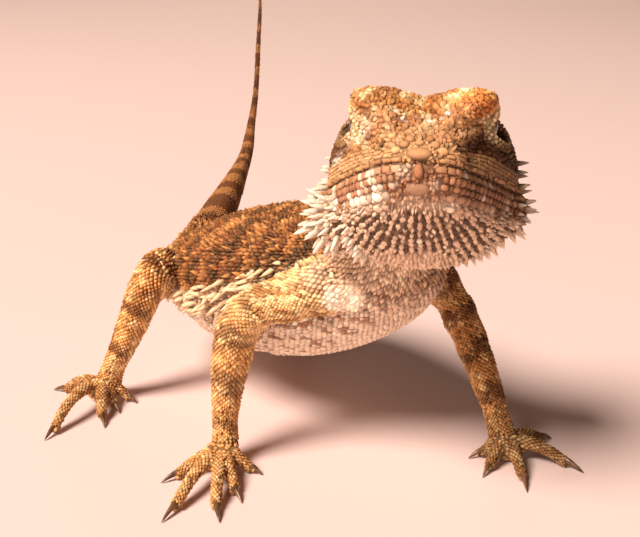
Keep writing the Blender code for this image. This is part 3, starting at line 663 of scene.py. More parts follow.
def allBlocks():
    return list(itertools.chain(*coats.values()))


def turnedBy(angle, first, second):
    # first cos a + second sin a, and second cos a - first sin a
    c, s = np.cos(angle)[:, None], np.sin(angle)[:, None]
    return first * c + second * s, second * c - first * s


def lay(coat, places, template, length, width, height, lean=0.0, sunk=0.0, vary=0.1, kind="plain", yaw=0.0):
    # every vertex: root + x length ahead + y width across + z height up, after a turn by lean about across;
    # a spine leans the other way, towards its tip
    n = len(places["root"])
    if not n:
        return
    local, faces = templates[template]
    grow = 1 + rng.normal(0, vary, (n, 3)).clip(-2 * vary, 2 * vary)
    size = np.column_stack([np.broadcast_to(q, n) for q in (length, width, height)]) * grow
    lie, across, out = places["axes"].transpose(1, 0, 2)
    if yaw:
        lie, across = turnedBy(rng.normal(0, yaw, n), lie, across)
    angle = np.broadcast_to(lean, n) + rng.normal(0, 0.05, n)
    ahead, up = turnedBy(-angle if template == "spine" else angle, lie, out)
    points = (places["root"] - out * np.broadcast_to(sunk, n)[:, None])[:, None]
    step = local * size[:, None]
    for k, way in enumerate((ahead, across, up)):
        points = points + step[..., k:k + 1] * way[:, None]
    points[..., 2] = np.maximum(points[..., 2], 0.0)
    coats.setdefault(coat, []).append({
        "points": points, "faces": faces, "root": places["root"], "out": out, "kind": kind,
        "atlas": np.column_stack([places["t"], places["a"]]), "patch": local[None, :, :2] * patchSize / 0.66,
        "high": np.clip(local[:, 2], 0, 1.2)})


# the coat, region by region
onTrunk = {
    # coat, rows from t to t, how many round, spacing along
    "body": [("coat_neck", 0.6, 14.0, 56, 0.86), ("coat_back", 14.0, 64.0, 72, 1.0),
             ("coat_back", 64.0, 80.0, 52, 1.05)],
    "tail": [(80.0, 96.0, 30, 1.15), (96.0, 124.0, 20, 1.35), (124.0, 160.0, 14, 1.55),
             (160.0, 212.0, 11, 1.6)],
}
onLimbs = [(32, 1.0), (24, 1.04), (19, 1.06)]        # how many round and spacing along, on three stretches
onToes = {"from": 2.0, "short": 0.15, "count": 9, "stretch": 1.45}


def coverTrunk():
    # back and belly part where the skin's normal points down by 0.41
    for coat, start, stop, count, stretch in onTrunk["body"]:
        places = claim(seated(trunkSurface, *rowsOn(trunkSurface, start, stop, count, stretch, 0.12), 1.6))
        belly = smooth(-0.2, -0.62, places["axes"][:, 2, 2]) > 0.5
        part = pick(places, belly)
        lay("coat_belly", part, "keeled", part["cell"] * 0.98, part["cell"] * 0.9, 0.2, 0.05, 0.0, 0.05)
        part = pick(places, ~belly)
        up = part["axes"][:, 2, 2]
        high, lean = 0.30 + 0.32 * smooth(-0.3, 0.5, up), 0.16 + 0.22 * smooth(-0.1, 0.5, up)
        lay(coat, part, "keeled", part["cell"] * 1.2, part["cell"] * 0.9, high, lean, 0.03, 0.2)
    for start, stop, count, stretch in onTrunk["tail"]:
        stop = min(stop, trunkForm["along"][-1])
        places = claim(seated(trunkSurface, *rowsOn(trunkSurface, start, stop, count, stretch)))
        cell = places["cell"]
        high = np.minimum(0.36, cell * 0.45)
        lay("coat_tail", places, "keeled", cell * stretch * 0.98, cell * 0.98, high, 0.1, 0.03, 0.07)


def coverLimbs():
    for name, form in limbForms.items():
        surface, along = partial(tubeAt, form), form["along"]
        coat = "coat_arms" if name.startswith("arm") else "coat_legs"
        stops = (2.0, along[2] + 4, along[5], along[-1] - 1.0)
        for (count, stretch), start, stop in zip(onLimbs, stops, stops[1:]):
            places = claim(seated(surface, *rowsOn(surface, start, stop, count, stretch), 0.9))
            cell = places["cell"]
            high = np.minimum(0.4, cell * 0.5)
            lay(coat, places, "keeled", cell * 1.16, cell * 0.97, high, 0.15, 0.03, 0.1)


def coverToes():
    for (name, _), form in toeForms.items():
        surface, stop = partial(tubeAt, form), form["along"][toeShape["flesh"] - 1] - onToes["short"]
        rows = rowsOn(surface, onToes["from"], stop, onToes["count"], onToes["stretch"])
        places = claim(seated(surface, *rows, 0.7))
        cell = places["cell"]
        coat = "coat_hands" if name.startswith("arm") else "coat_feet"
        lay(coat, places, "keeled", cell * 1.5, cell * 1.05, 0.24, 0.1, 0.02, 0.07)


# the mouth: low long scales in even lines above it, square plates and round scales below it, and chin shields
lipRows = [
    # height above its line, spacing, start and stop, shift, template, length, width, height, lean
    (0.40, 1.45, 1.9, 19.0, 0.0, "plate", 1.0, 0.62, 0.17, 0.02),
    (0.96, 1.45, 2.3, 19.0, 0.5, "plate", 1.0, 0.54, 0.14, 0.02),
    (1.45, 1.45, 2.6, 19.0, 0.0, "plate", 1.0, 0.52, 0.14, 0.02),
    (1.94, 1.45, 5.4, 19.0, 0.5, "plate", 1.0, 0.52, 0.13, 0.02),
    (2.42, 1.45, 7.0, 19.0, 0.0, "plate", 1.0, 0.5, 0.13, 0.02),
    (-0.60, 1.12, 1.9, 19.0, 0.0, "plate", 1.0, 0.94, 0.22, 0.02),
    (-1.5, 0.98, 2.2, 19.0, 0.5, "dome", 1.0, 0.95, 0.3, 0.02),
    (-2.28, 0.86, 2.4, 19.0, 0.0, "dome", 1.0, 0.86, 0.28, 0.02),
    (-3.15, 1.3, 2.6, 10.0, 0.4, "dome", 0.95, 1.15, 0.34, 0.0),
    (-4.2, 1.15, 3.2, 7.0, 0.0, "dome", 0.95, 0.95, 0.3, 0.0),
]
muzzleScales = [
    # s, v and w of scales of one size, then length, width, height and variation: the plate above the mouth,
    # two below it, and seven beside the plate and over the muzzle
    (-0.2, 0.0, 0.2, 1.7, 3.1, 0.5, 0.0), (0.0, 0.0, -1.7, 1.8, 1.15, 0.34, 0.0),
    (0.3, 0.0, -3.5, 1.7, 2.9, 0.34, 0.0),
    ((0.3, 0.3, 0.6, 0.6, 0.5, 1.2, 1.2), (1.7, -1.7, 2.6, -2.6, 0.0, 1.1, -1.1),
     (1.3, 1.3, 0.6, 0.6, 1.5, 2.0, 2.0), 1.1, 1.25, 0.4, 0.08),
]
# growth, beads and their size
lidRings = [(1.02, 26, 0.42), (1.24, 28, 0.5), (1.47, 30, 0.58), (1.72, 32, 0.62)]
lidOval = {"long": 2.3, "tall": 1.5, "lift": 0.05, "out": 2.9}
# from s to s, scales round
beardRows = [(3.4, 7.0, 28), (7.0, 11.5, 40), (11.5, 25.0, 48)]
beardEdge = -2.8


def offsetAngle(s, offset):
    # the angle at which the head's section stands offset above the mouth's line: asin((offset / tall)^(n/2))
    tall = headSection(s, -skinShape["depthHead"])[:, 1 if offset > 0 else 2]
    n = head["above" if offset > 0 else "below"]
    return math.copysign(1, offset) * np.arcsin(np.clip(abs(offset) / tall, 0, 1) ** (n / 2))


def lipRow(offset, pace, start, stop, shift, template, long, wide, high, lean):
    # a row along the mouth at one height above its line, by uneven lengths from the front of the muzzle
    s = 0.02 + 22 * np.linspace(0, 1, 700) ** 2
    s = s[headSection(s, -skinShape["depthHead"])[:, 1 if offset > 0 else 2] > abs(offset) * 1.06]
    path = headSurface(s, offsetAngle(s, offset))
    run = runOf(path) + abs(headPlace(path[:1])[1][0])
    cell = pace * rng.uniform(0.72, 1.3, int(run[-1] / pace) + 2)
    wanted = start + shift * pace + np.cumsum(cell) - cell / 2
    stay = (np.interp(wanted, run, s) < stop) & (wanted < run[-1])
    found = []
    for more in (0, settling["step"]):
        place = np.interp(wanted[stay] + more, run, s)
        angle = offsetAngle(place, offset)
        found.append((np.tile(place, 2), np.concatenate([angle, math.pi - angle])))
    (t, a), (tAhead, aAhead) = found
    centre = headSurface(t, a)
    ahead = stepTo(centre, headSurface(tAhead, aAhead))
    side = stepTo(centre, headSurface(t, a + settling["angleStep"]))
    places = claim(settle(centre, ahead, side, 2.4, np.tile(cell[stay], 2), t, a))
    lay("coat_lips", places, template, places["cell"] * long, wide, high, lean, vary=0.06)


def patchAt(s, v, w, way, limit=3.0):
    # single places on the head, given near the skin, that face one way
    s, v, w = (np.atleast_1d(np.asarray(q, float)) for q in (s, v, w))
    centre = inHead(s, v, w)
    out = unit(np.broadcast_to(way, centre.shape))
    lie = np.broadcast_to(-headFront - 0.01 * headUp, centre.shape)
    lie = unit(lie - dots(lie, out)[:, None] * out)
    side = centre + np.cross(out, lie) * settling["step"]
    ahead = centre + lie * settling["step"]
    return claim(settle(centre, ahead, side, limit, np.ones(len(s)), s, np.arctan2(w, v)))


def coverMuzzle():
    for s, v, w, long, wide, high, vary in muzzleScales:
        lay("coat_lips", patchAt(s, v, w, headFront), "dome", long, wide, high, vary=vary)


def coverLids():
    # rings of beads round the eye's opening: an oval, grown for each ring
    es, ev, ew = head["eye"]
    for side, (grow, count, size) in itertools.product((1, -1), lidRings):
        a = around(count)
        s = es - lidOval["long"] * grow * np.cos(a)
        w = ew + lidOval["lift"] + lidOval["tall"] * grow * np.sin(a)
        places = patchAt(s, np.full(count, (ev + lidOval["out"]) * side), w, headLeft * side)
        lay("coat_lids", places, "granule", size, size * 1.1, 0.34, vary=0.06)


def coverBeard():
    # lines of scales that fan out from the chin round the lower half of the head; every second line has dark
    # dashes in a band between two levels, where all scales lie lower
    for s, stop, count in beardRows:
        while s < stop:
            edge = offsetAngle(np.array([s]), beardEdge)[0]
            a, run = evenAngles(headSurface, s, count, 0.0, math.pi - edge, 2 * math.pi + edge)
            pace = run / count
            a = a + rng.normal(0, 0.11, count) * pace / 10
            t = np.full(count, s) + rng.normal(0, 0.2, count) + (0.5 * (np.arange(count) % 2) - 0.25) * 0.8
            places = seated(headSurface, t, a, np.full(count, pace), 3.4)
            n = len(places["t"])
            level = headPlace(places["root"])[2] + rng.normal(0, 0.25, n)
            stay = (level < -5.0) & ((level > -9.6) | (rng.random(n) < 0.7)) & (rng.random(n) < 0.94)
            places = claim(pick(places, stay))
            band = within(headPlace(places["root"])[2], -10.2, -9.4, -6.4, -5.6)
            column = np.rint(np.interp(places["a"], np.sort(a), np.arange(count)))
            dash = (column % 2 == 1) & (band > rng.uniform(0.1, 0.7, len(band)))
            for chosen, kind, lower, wider in ((~dash, "plain", 0.35, 0.22), (dash, "dark", 0.75, -0.1)):
                part = pick(places, chosen)
                spread = smooth(7, 17, part["t"])
                low = 1 - lower * band[chosen]
                wide = part["cell"] * (1.12 + wider * band[chosen])
                high, lean = (0.2 + 0.1 * spread) * low, (0.12 + 0.1 * spread) * low
                lay("coat_beard", part, "bract", 0.95 + 0.2 * spread, wide, high, lean, 0.0, 0.16, kind, 0.08)
            s = s + 0.74 + 0.1 * smooth(7, 15, s)


# the gaps that are left take loose granules
looseScales = {
    # coat, template, length, width, height, lean, variation, yaw
    "roughTop": ("coat_crown", "keeled", 1.0, 0.66, 0.17, 0.13, 0.24, 0.4),
    "softTop": ("coat_crown", "keeled", 0.86, 0.72, 0.12, 0.07, 0.2, 0.6),
    "temple": ("coat_crown", "keeled", 0.78, 0.66, 0.16, 0.12, 0.18, 0.4),
    "jaw": ("coat_beard", "keeled", 0.72, 0.6, 0.2, 0.14, 0.16, 0.25),
    "body": ("coat_fill", "granule", 0.62, 0.56, 0.18, 0.1, 0.14, 0.0),
}
looseRooms = ((0.36, 1.0), (0.29, 0.82))             # side of the cubes, growth of the scales


def gapPoints(room, rounds=2):
    # skin points with no scale within a cube and its neighbours, one for each larger cube, in two rounds
    points, normals = coordinates(skin.data), normalsOf(skin.data)
    chosen = []
    for _ in range(rounds):
        order = rng.permutation(len(points))
        roots = [block["root"] for block in allBlocks()] + [points[c] for c in chosen]
        occupied = cellsOf(np.concatenate(roots), room)
        free = np.ones(len(points), bool)
        for shift in itertools.product((-1, 0, 1), repeat=3):
            free &= ~np.isin(cellsOf(points, room, shift), occupied)
        ids = order[free[order]]
        chosen.append(ids[firstOf(cellsOf(points[ids], room * 1.6))])
    ids = np.concatenate(chosen)
    return points[ids], unit(normals[ids])


def coverLoose():
    # crown, snout and temples take uneven low cones, and everything left elsewhere small granules, in frames
    # from the skin's own normal and a lie that runs back along the body
    for room, grow in looseRooms:
        root, out = gapPoints(room)
        s, v, w = headPlace(root)
        onHead = (s < 26) & (np.abs(v) < 15) & (w > -14)
        lie = np.where(onHead[:, None], -headFront, np.array([0.0, 0.8, -0.3]))
        lie = unit(lie - dots(lie, out)[:, None] * out + 1e-6)
        places = {"root": root, "axes": np.stack([lie, np.cross(out, lie), out], 1), "t": s, "a": v}
        ok = root[:, 2] > 0.25
        for name, side in itertools.product(hollows, (1, -1)):
            off = inHollow(root, name, side, 1.02)
            ok &= dots(off, off) >= 1
        crown = ok & onHead & (w > mouthHeight(s) + 1.5)
        top = crown & (places["axes"][:, 2] @ headUp > 0.25)
        rough = rng.random(len(root)) < 0.45
        masks = (top & rough, top & ~rough, crown & ~top, ok & onHead & ~crown, ok & ~onHead)
        for mask, (coat, template, long, wide, *more, vary, yaw) in zip(masks, looseScales.values()):
            lay(coat, pick(places, mask), template, long * grow, wide * grow, *more, vary=vary, yaw=yaw)


# spines
spineSets = {
    # the level they spring from, growth on the left, kind; then rows of s, first and last angle above the
    # side, how many a side, length, width, lean back
    "beard": (-3.0, 0.66, "cream", [
        (12.4, -16, -30, 4, 0.9, 0.62, 0.7), (14.0, -8, -38, 8, 1.3, 0.74, 0.6),
        (15.3, -2, -44, 10, 1.8, 0.84, 0.5), (16.6, 2, -46, 11, 2.2, 0.94, 0.45),
        (18.0, 8, -50, 12, 2.4, 0.98, 0.45), (19.4, 10, -54, 13, 2.4, 0.98, 0.55),
        (21.0, 4, -54, 13, 2.2, 0.94, 0.7), (22.8, -4, -56, 12, 1.9, 0.88, 0.9)]),
    "brow": (1.2, 1.0, "pale", [
        (s, 38, 52, 3, 0.5, 0.6, 0.5) for s in (8.6, 9.8, 11.0, 12.2, 13.4, 14.6, 15.8, 17.0)]),
    "temple": (1.2, 1.0, "cream", [(17.4, -10, -1, 2, 1.5, 0.8, 0.4), (19.0, -8, 6, 3, 1.6, 0.84, 0.5)]),
    "crown": (1.2, 1.0, "cream", [
        (19.6, 26, 46, 4, 1.3, 0.7, 1.0), (21.2, 16, 48, 6, 1.7, 0.76, 1.0),
        (22.8, 2, 48, 8, 2.1, 0.84, 1.02), (24.2, 0, 50, 8, 1.8, 0.8, 1.05)]),
}
fringeLine = {"y": [-16, -10, -5, 0, 5, 10, 15, 21], "angle": [17, 10, 2.5, -2, -6, -9, -9, -8]}
fringeShape = {
    # angle above the line, length and width of each row
    "rows": [(5.5, 2.2, 0.78), (1.0, 3.1, 0.95), (-3.5, 3.3, 0.98), (-8.0, 2.5, 0.85)],
    "from": -14.0, "to": 21.0, "count": 16, "yaw": 0.38}
tubercles = {"count": 620, "t": (6, 73), "angle": (8, 172)}


def aimed(s, angle, level, side, rounds=12):
    # places where a line from the middle of the head at a level, at an angle above the side, leaves the skin:
    # its length is multiplied by 1 + 0.7 (1 / f - 1) each round, where f is 1 on the superellipse
    away = np.cos(angle)[:, None] * side * headLeft + np.sin(angle)[:, None] * headUp
    size = headSection(s, -0.3)
    drop = level - mouthHeight(s)
    reach = np.full_like(s, 6.0)
    for _ in range(rounds):
        h = reach * np.sin(angle) + drop
        tall = np.where(h > 0, size[:, 1], size[:, 2])
        n = np.where(h > 0, head["above"], head["below"])
        f = ((np.abs(reach * np.cos(angle)) / size[:, 0]) ** n + np.abs(h / tall) ** n) ** (1 / n)
        reach = reach * (1 + (1 / f - 1) * 0.7)
    centre = inHead(s, np.zeros_like(s), np.full_like(s, level)) + away * reach[:, None]
    back = np.broadcast_to(-headFront, centre.shape)
    beside = centre + np.cross(away, back) * settling["step"]
    return settle(centre, centre + back * settling["step"], beside, 5.0, np.ones(len(s)), s, angle * side)


def growSpines():
    # a spine is half as long along the skin as it stands out of it; more than 30 degrees below the side they get
    # shorter, by up to 0.42
    for level, leftGrow, kind, rows in spineSets.values():
        for s, start, stop, count, length, width, lean in rows:
            angle = np.radians(np.linspace(start, stop, count) + rng.normal(0, 0.8, count))
            at = s + rng.normal(0, 0.16, count) + 0.3 * (np.arange(count) % 2)
            for side in (1, -1):
                places = aimed(at, angle, level, side)
                low = np.clip((-np.degrees(places["a"] * side) - 30) / 40, 0, 1)
                grow = (1 - 0.42 * low) * (1 + rng.normal(0, 0.1, len(low))) * (leftGrow if side > 0 else 1.0)
                high = length * grow
                lay("coat_spines", places, "spine", length * 0.5 * grow, width * grow**0.5, high,
                    lean - 0.2, 0.1, 0.1, kind)


def growFringe():
    # rows of flat spines along each flank: angle from the fringe's line, longest near its middle
    count = fringeShape["count"]
    for side, (row, (angle, length, width)) in itertools.product((1, -1), enumerate(fringeShape["rows"])):
        k = (np.arange(count) + 0.5 * (row % 2)) / (count - 0.5)
        y = fringeShape["from"] + (fringeShape["to"] - fringeShape["from"]) * k + rng.normal(0, 0.35, count)
        t = np.interp(y, trunkForm["rows"][:9, 1], trunkForm["along"][:9])
        a = np.radians(np.interp(y, fringeLine["y"], fringeLine["angle"]) + angle + rng.normal(0, 1.0, count))
        places = seated(trunkSurface, t, a if side > 0 else math.pi - a, np.ones(count), 1.6)
        n = len(places["t"])
        grow = 0.6 + 0.4 * np.sin(math.pi * np.interp(places["t"], t, k) ** 0.7)
        grow = grow * (1 + rng.normal(0, 0.12, n))
        yaw = fringeShape["yaw"] * side + rng.normal(0, 0.26, n)
        lie, across, out = places["axes"].transpose(1, 0, 2)
        places["axes"] = np.stack([*turnedBy(-yaw, lie, across), out], 1)
        high, lean = rng.uniform(0.7, 1.25, n), rng.uniform(0.0, 0.24, n)
        lay("coat_fringe", places, "lance", length * grow, width, high, lean, -0.12, 0.12, "fringe")


def growTubercles():
    # larger spiny scales scattered over the back and the sides of the neck
    count = tubercles["count"]
    t = rng.uniform(*tubercles["t"], count)
    a = rng.uniform(*(math.radians(angle) for angle in tubercles["angle"]), count)
    places = seated(trunkSurface, t, a, np.ones(count), 1.6)
    long, high = rng.uniform(0.9, 1.5, len(places["t"])), rng.uniform(0.45, 0.85, len(places["t"]))
    lay("coat_tubercles", places, "lance", long, 0.82, high, 0.16, -0.1, 0.14, "pale", 0.3)


# markings and painted light and shade, shared by the skin and its coat
tints = {
    "back": (0.165, 0.047, 0.012), "backPale": (0.48, 0.195, 0.058), "backDark": (0.05, 0.02, 0.006),
    "belly": (1, 0.78, 0.6), "crown": (0.51, 0.215, 0.068), "crownDark": (0.28, 0.075, 0.014),
    "crownPale": (0.88, 0.6, 0.32), "muzzle": (0.49, 0.25, 0.125), "cheek": (0.1, 0.028, 0.008),
    "lip": (0.58, 0.32, 0.145), "jaw": (0.42, 0.2, 0.11), "beard": (0.98, 0.68, 0.48),
    "beardDark": (0.07, 0.025, 0.011), "limb": (0.62, 0.28, 0.092), "limbDark": (0.13, 0.036, 0.009),
    "limbPale": (0.92, 0.59, 0.29), "digit": (0.55, 0.25, 0.08), "tail": (0.14, 0.038, 0.01),
    "tailPale": (0.42, 0.17, 0.052), "fringe": (1, 0.7, 0.44), "lid": (0.82, 0.6, 0.34),
    "spot": (1, 0.85, 0.69), "tipHighlight": (0.90, 0.50, 0.18), "iris": (0.36, 0.17, 0.04),
    "irisPale": (0.62, 0.36, 0.10), "irisRim": (0.66, 0.42, 0.14), "eyeball": (0.05, 0.022, 0.01),
    "pupil": (0.003, 0.002, 0.002),
}
tints = {name: np.array(value) for name, value in tints.items()}
chestTone = np.array((0.50, 0.34, 0.24))
# the cream spot in front of the right shoulder: centre and radii
spot = {"centre": np.array((-8.6, -24.4, 27.2)), "radii": np.array((3.3, 2.8, 2.5))}
# painted shade in the creases of folds on the right flank, from the shoulder back to the fringe
foldShades = [{"t": [17, 19, 21.5, 24.5, 27.5], "lift": [34, 28, 22, 16, 12], "wide": 3.2},
         {"t": [15, 19.5, 23.5], "lift": [24, 20, 16], "wide": 2.8}]
# the painted light and shade of each limb: a tone that makes it lighter or darker as a whole, for how the lamps
# fall on it, how much painted shade darkens its foot, and how close its bands are
limbLightShadeAndBands = {"armRight": (1.1, 0.0, 0.95), "armLeft": (0.8, 0.25, 0.95), "legRight": (1.15, 0.0, 0.85),
             "legLeft": (0.9, 0.0, 0.85)}


def stain(colour, name, share, tone=1.0):
    # the colour moved by a share towards a named tint times a tone
    return mix(colour, tints[name] * tone, share)


def alongForms(points, stations=110, atOnce=20000):
    # for the trunk and each limb: the nearest station of its path, the distance from it in radii, the way
    # from it, and the angle above the form's side in degrees
    found = {}
    for name, form in {"trunk": trunkForm, **limbForms}.items():
        t = np.linspace(0, form["along"][-1], stations)
        path, _, left, up, size = tubePath(form, t)
        best, far = [], []
        for start in range(0, len(points), atOnce):
            d = ((points[start:start + atOnce, None] - path) ** 2).sum(-1)
            best.append(d.argmin(1))
            far.append(np.sqrt(d.min(1)))
        best, far = np.concatenate(best), np.concatenate(far)
        off = points - path[best]
        across, above = dots(off, left[best]), dots(off, up[best])
        tall = np.where(above > 0, size[best, 1], size[best, 2])
        lift = np.degrees(np.arctan2(above / tall, np.abs(across) / size[best, 0]))
        found[name] = (t[best], far / size[best].mean(1), off, lift)
    return found


def spotShare(points):
    # 1 inside the cream spot, 0 well outside it
    return smooth(1.15, 0.8, lengths((points - spot["centre"]) / spot["radii"]))


def trunkColour(points, found, blotch, fleck, down):
    # brown with pale cross rows and dark blotches, pale below; a sine of t sets the rows
    t, _, off, lift = found
    y, low = points[:, 1], off[:, 2]
    bars = 0.5 * np.sin(t * 0.62 + 1.6 * ripple(points, 12, 24) + 0.08 * np.abs(off[:, 0]) ** 1.2)
    colour = stain(tints["back"], "backPale", smooth(0.15, 0.85, bars + blotch + 0.5 * fleck) * 0.8)
    colour = stain(colour, "backDark", smooth(0.2, 0.9, -bars - 0.8 * blotch + 0.5 * fleck) * 0.85)
    below = np.maximum(smooth(-1.5, -7.5, low + 1.2 * blotch), down * smooth(1, -4, low))
    colour = stain(colour, "belly", below)
    colour = stain(colour, "belly", smooth(20, 6, t) * smooth(0, -4, low) * 0.85, chestTone)
    # the cream line of the fringe, the dark fold above it, small dark ticks below it, and chest speckles
    over = lift - np.interp(y, fringeLine["y"], fringeLine["angle"]) + 2.0 * ripple(points, 3.5, 41)
    flank = within(y, -20, -15, 21, 26)
    colour = stain(colour, "fringe", flank * bell(over, -1.5, 6.5, 4) * 0.85, 0.5)
    colour = stain(colour, "backDark", flank * bell(over, 13.5, 3.2) * smooth(6, -3, y) * 0.9)
    tick = smooth(0.35, 0.9, ripple(points * (1, 0.45, 1.6), 2.4, 43)) * bell(over, -26, 13)
    fore = smooth(-14, -19, y) * smooth(30, 0, np.abs(lift + 10))
    colour = stain(colour, "backDark", flank * tick * 0.6 + fore * tick * 0.8)
    speckle = smooth(0.15, 0.6, ripple(points * (1, 0.6, 1.5), 1.5, 53)) * smooth(52, 30, np.abs(lift + 22))
    colour = stain(colour, "crownDark", speckle * within(y, -34, -28, 2, 10) * 0.75)
    # painted shade along the creases of the folds
    for fold in foldShades:
        first, last = fold["t"][0], fold["t"][-1]
        part = within(t, first - 2, first + 1, last, last + 2.5) * (points[:, 0] < 0)
        line = bell(lift, np.interp(t, fold["t"], fold["lift"]), fold["wide"])
        colour = stain(colour, "backDark", line * part * 0.95, 0.7)
    # tail: bands of brown
    band = smooth(-0.2, 0.5, np.sin(t * 0.72 + 0.5 * ripple(points, 7, 25)))
    return mix(colour, stain(tints["tail"], "tailPale", band * 0.9 + 0.25 * down), smooth(76, 84, t))


def limbColour(points, name, seed, t, blotch, fleck, down):
    # tan with brown bands from a sine of t, paler inside and below; then painted light and shade over the whole
    # limb and its foot
    tone, footShade, bands = limbLightShadeAndBands[name]
    total = limbForms[name]["along"][-1]
    ring = np.sin(t * bands + 0.8 + 1.1 * ripple(points, 6, 26 + seed)) + 0.45 * blotch
    colour = stain(tints["limb"], "limbDark", smooth(0.0, 0.75, ring) * 0.85)
    patch = ripple(points, 2.1, 46 + seed)
    colour = stain(colour, "limbPale", smooth(0.1, 0.75, patch) * 0.75 + 0.6 * down)
    colour = stain(colour, "limbDark", smooth(0.3, 0.9, 0.5 * fleck - patch) * 0.5, 1.6)
    if name == "armRight":
        upper = smooth(total * 0.55, total * 0.3, t)
        streak = ripple(points * (0.45, 0.45, 1.7), 2.2, 45) + 0.5 * fleck
        colour = stain(colour, "limbPale", upper * smooth(-0.7, 0.5, streak) * 0.85 + 0.12)
        colour = stain(colour, "limb", upper * smooth(0.15, 0.75, -streak) * 0.95, 0.6)
    foot = smooth(total - 6, total - 1, t)
    colour = stain(colour, "digit", foot * 0.6)
    colour = stain(colour, "limbPale", foot * smooth(0.0, 0.6, ripple(points, 1.6, 52)) * 0.6)
    # painted light and shade: the whole limb lighter or darker, its foot darker still
    return colour * (tone * (1 - footShade * foot))[:, None]


def crownColour(points, s, v, w, blotch, fleck):
    # everything above the mouth: tan with dark blotches and pale streaks, darker behind and below the eyes;
    # painted light on the crown's left side and painted shade below the crest
    line, high, wide = w - mouthHeight(s), w - crestHeight(s), np.abs(v)
    colour = stain(tints["crown"], "crownDark", smooth(0.0, 0.7, blotch + 0.8 * fleck) * 0.85)
    streak = ripple(np.stack([0.45 * s + 0.5 * wide, v, 0.7 * w], 1), 2.3, 31)
    colour = stain(colour, "crownPale", smooth(0.1, 0.75, streak - 0.4 * blotch) * 0.85)
    colour = stain(colour, "crownDark", smooth(0.25, 0.8, -streak + 0.3 * blotch) * 0.6, 1.3)
    colour = stain(colour, "muzzle", smooth(7.5, 2.5, s) * 0.7)
    edge = wide / np.maximum(headSection(np.clip(s, 0.3, 27), 0)[:, 0], 0.1)
    cheek = smooth(0.7, 0.9, edge) * smooth(9.0, 11.5, s) * smooth(5.5, 3.0, line - 4.0)
    colour = stain(colour, "cheek", cheek * (0.95 + 0.3 * fleck), (0.8 + 0.15 * (v < 0))[:, None])
    # painted light: lighter on the left side of the crown, above the brow
    colour = colour * (1 + 0.85 * smooth(1.5, 5.0, v) * smooth(5.0, 7.0, w))[:, None]
    # the crest from brow to nostril with a pale line on it, partly its own colour and partly painted highlight;
    # painted shade on the plane below it, heavier on the left side; and the pale arc over the muzzle
    crest = within(s, 3.5, 5.5, 12.5, 15.5) * bell(high, 0.55, 0.55) * smooth(2.0, 3.4, wide)
    colour = stain(colour, "crownPale", crest * smooth(-0.9, 0.3, streak + 0.4 * fleck) * 0.8)
    # painted shade in the hollow below the crest: full on the left side, lighter and browner on the right
    lore = within(s, 2.5, 4.0, 9.5, 12.5) * smooth(0.3, 1.0, -high)
    lore = lore * smooth(2.3, 3.2, line) * smooth(3.0, 4.5, wide)
    colour = stain(colour, "cheek", lore * (0.3 + 0.7 * (v > 0)), (1.5 - 0.5 * (v > 0))[:, None])
    arc = bell(s - 4.9, 0.12 * wide, 0.5) * smooth(3.9, 3.0, wide) * smooth(2.6, 3.4, w)
    colour = stain(colour, "spot", arc * smooth(-0.1, 0.5, fleck + 0.4 * streak) * 0.75)
    # cream in front of the right eye and in a spot below it
    nearEye = bell(s, 8.0, 2.2, 4) * bell(line, 5.4, 1.7, 4) * (v < -4.5)
    colour = stain(colour, "spot", nearEye * smooth(-1.0, 0.4, fleck) * 0.7, 0.9)
    colour = stain(colour, "spot", bell(s, 13.2, 1.7) * bell(line, 2.6, 0.75) * (v < 0) * 0.85)
    return mix(colour, stain(tints["lip"], "muzzle", 0.5 + 0.6 * fleck), smooth(2.9, 2.1, line))


def jawColour(points, v, w, line, fleck):
    # everything below the mouth: tan, cream lower down, mottled near the lip
    colour = stain(tints["jaw"], "beard", smooth(-2.6, -4.4, line) * 0.9)
    mottle = ripple(points, 2.6, 35)
    cream = smooth(0.25, 0.85, mottle + 0.5 * smooth(0.0, -4.0, v)) * smooth(-5.6, -4.4, line)
    colour = stain(colour, "spot", cream * (0.6 - 0.35 * smooth(3.0, 1.0, np.abs(v))))
    return stain(colour, "cheek", smooth(0.1, 0.9, 0.8 * fleck - mottle) * smooth(-6.5, -5.0, w) * 0.5, 1.6)


def headColour(points, s, v, w, blotch, fleck):
    # crown and jaw meet at the mouth's line; painted shade on the left of the lips and jaw; then its slit,
    # darkened as painted shade, the rims of the lids, and painted shade in nostrils and ears
    line = w - mouthHeight(s)
    jaw = jawColour(points, v, w, line, fleck)
    colour = mix(crownColour(points, s, v, w, blotch, fleck), jaw, smooth(0.1, -0.1, line))
    # painted shade: the left side of the lips and upper jaw darker
    shaded = 0.42 * smooth(3.0, 6.0, v) * smooth(6.0, 3.5, line) * smooth(-6.5, -4.5, w)
    colour = colour * (1 - shaded)[:, None]
    # painted shade in the crease of the mouth
    slit = bell(line, 0.0, 0.2) * (s < head["mouthCorner"]) * (s > 0.2)
    colour = stain(colour, "beardDark", slit * 0.8)
    es, _, ew = head["eye"]
    x, y = (s - es) / 2.5, (w - ew) / 1.7
    lids = bell(np.sqrt(x**2 + y**2), 1.1, 0.34) * (np.abs(v) > 7.0)
    colour = stain(colour, "lid", lids * (0.2 + 0.65 * smooth(0.7, -0.7, x - 0.5 * y)))
    # painted shade inside the nostrils and ears
    for (name, reach), side in itertools.product((("nostril", 0.85), ("ear", 0.8)), (1, -1)):
        pit = smooth(1.25, reach, lengths(inHollow(points, name, side)))
        colour = stain(colour, "backDark", pit, 0.5)
    return colour


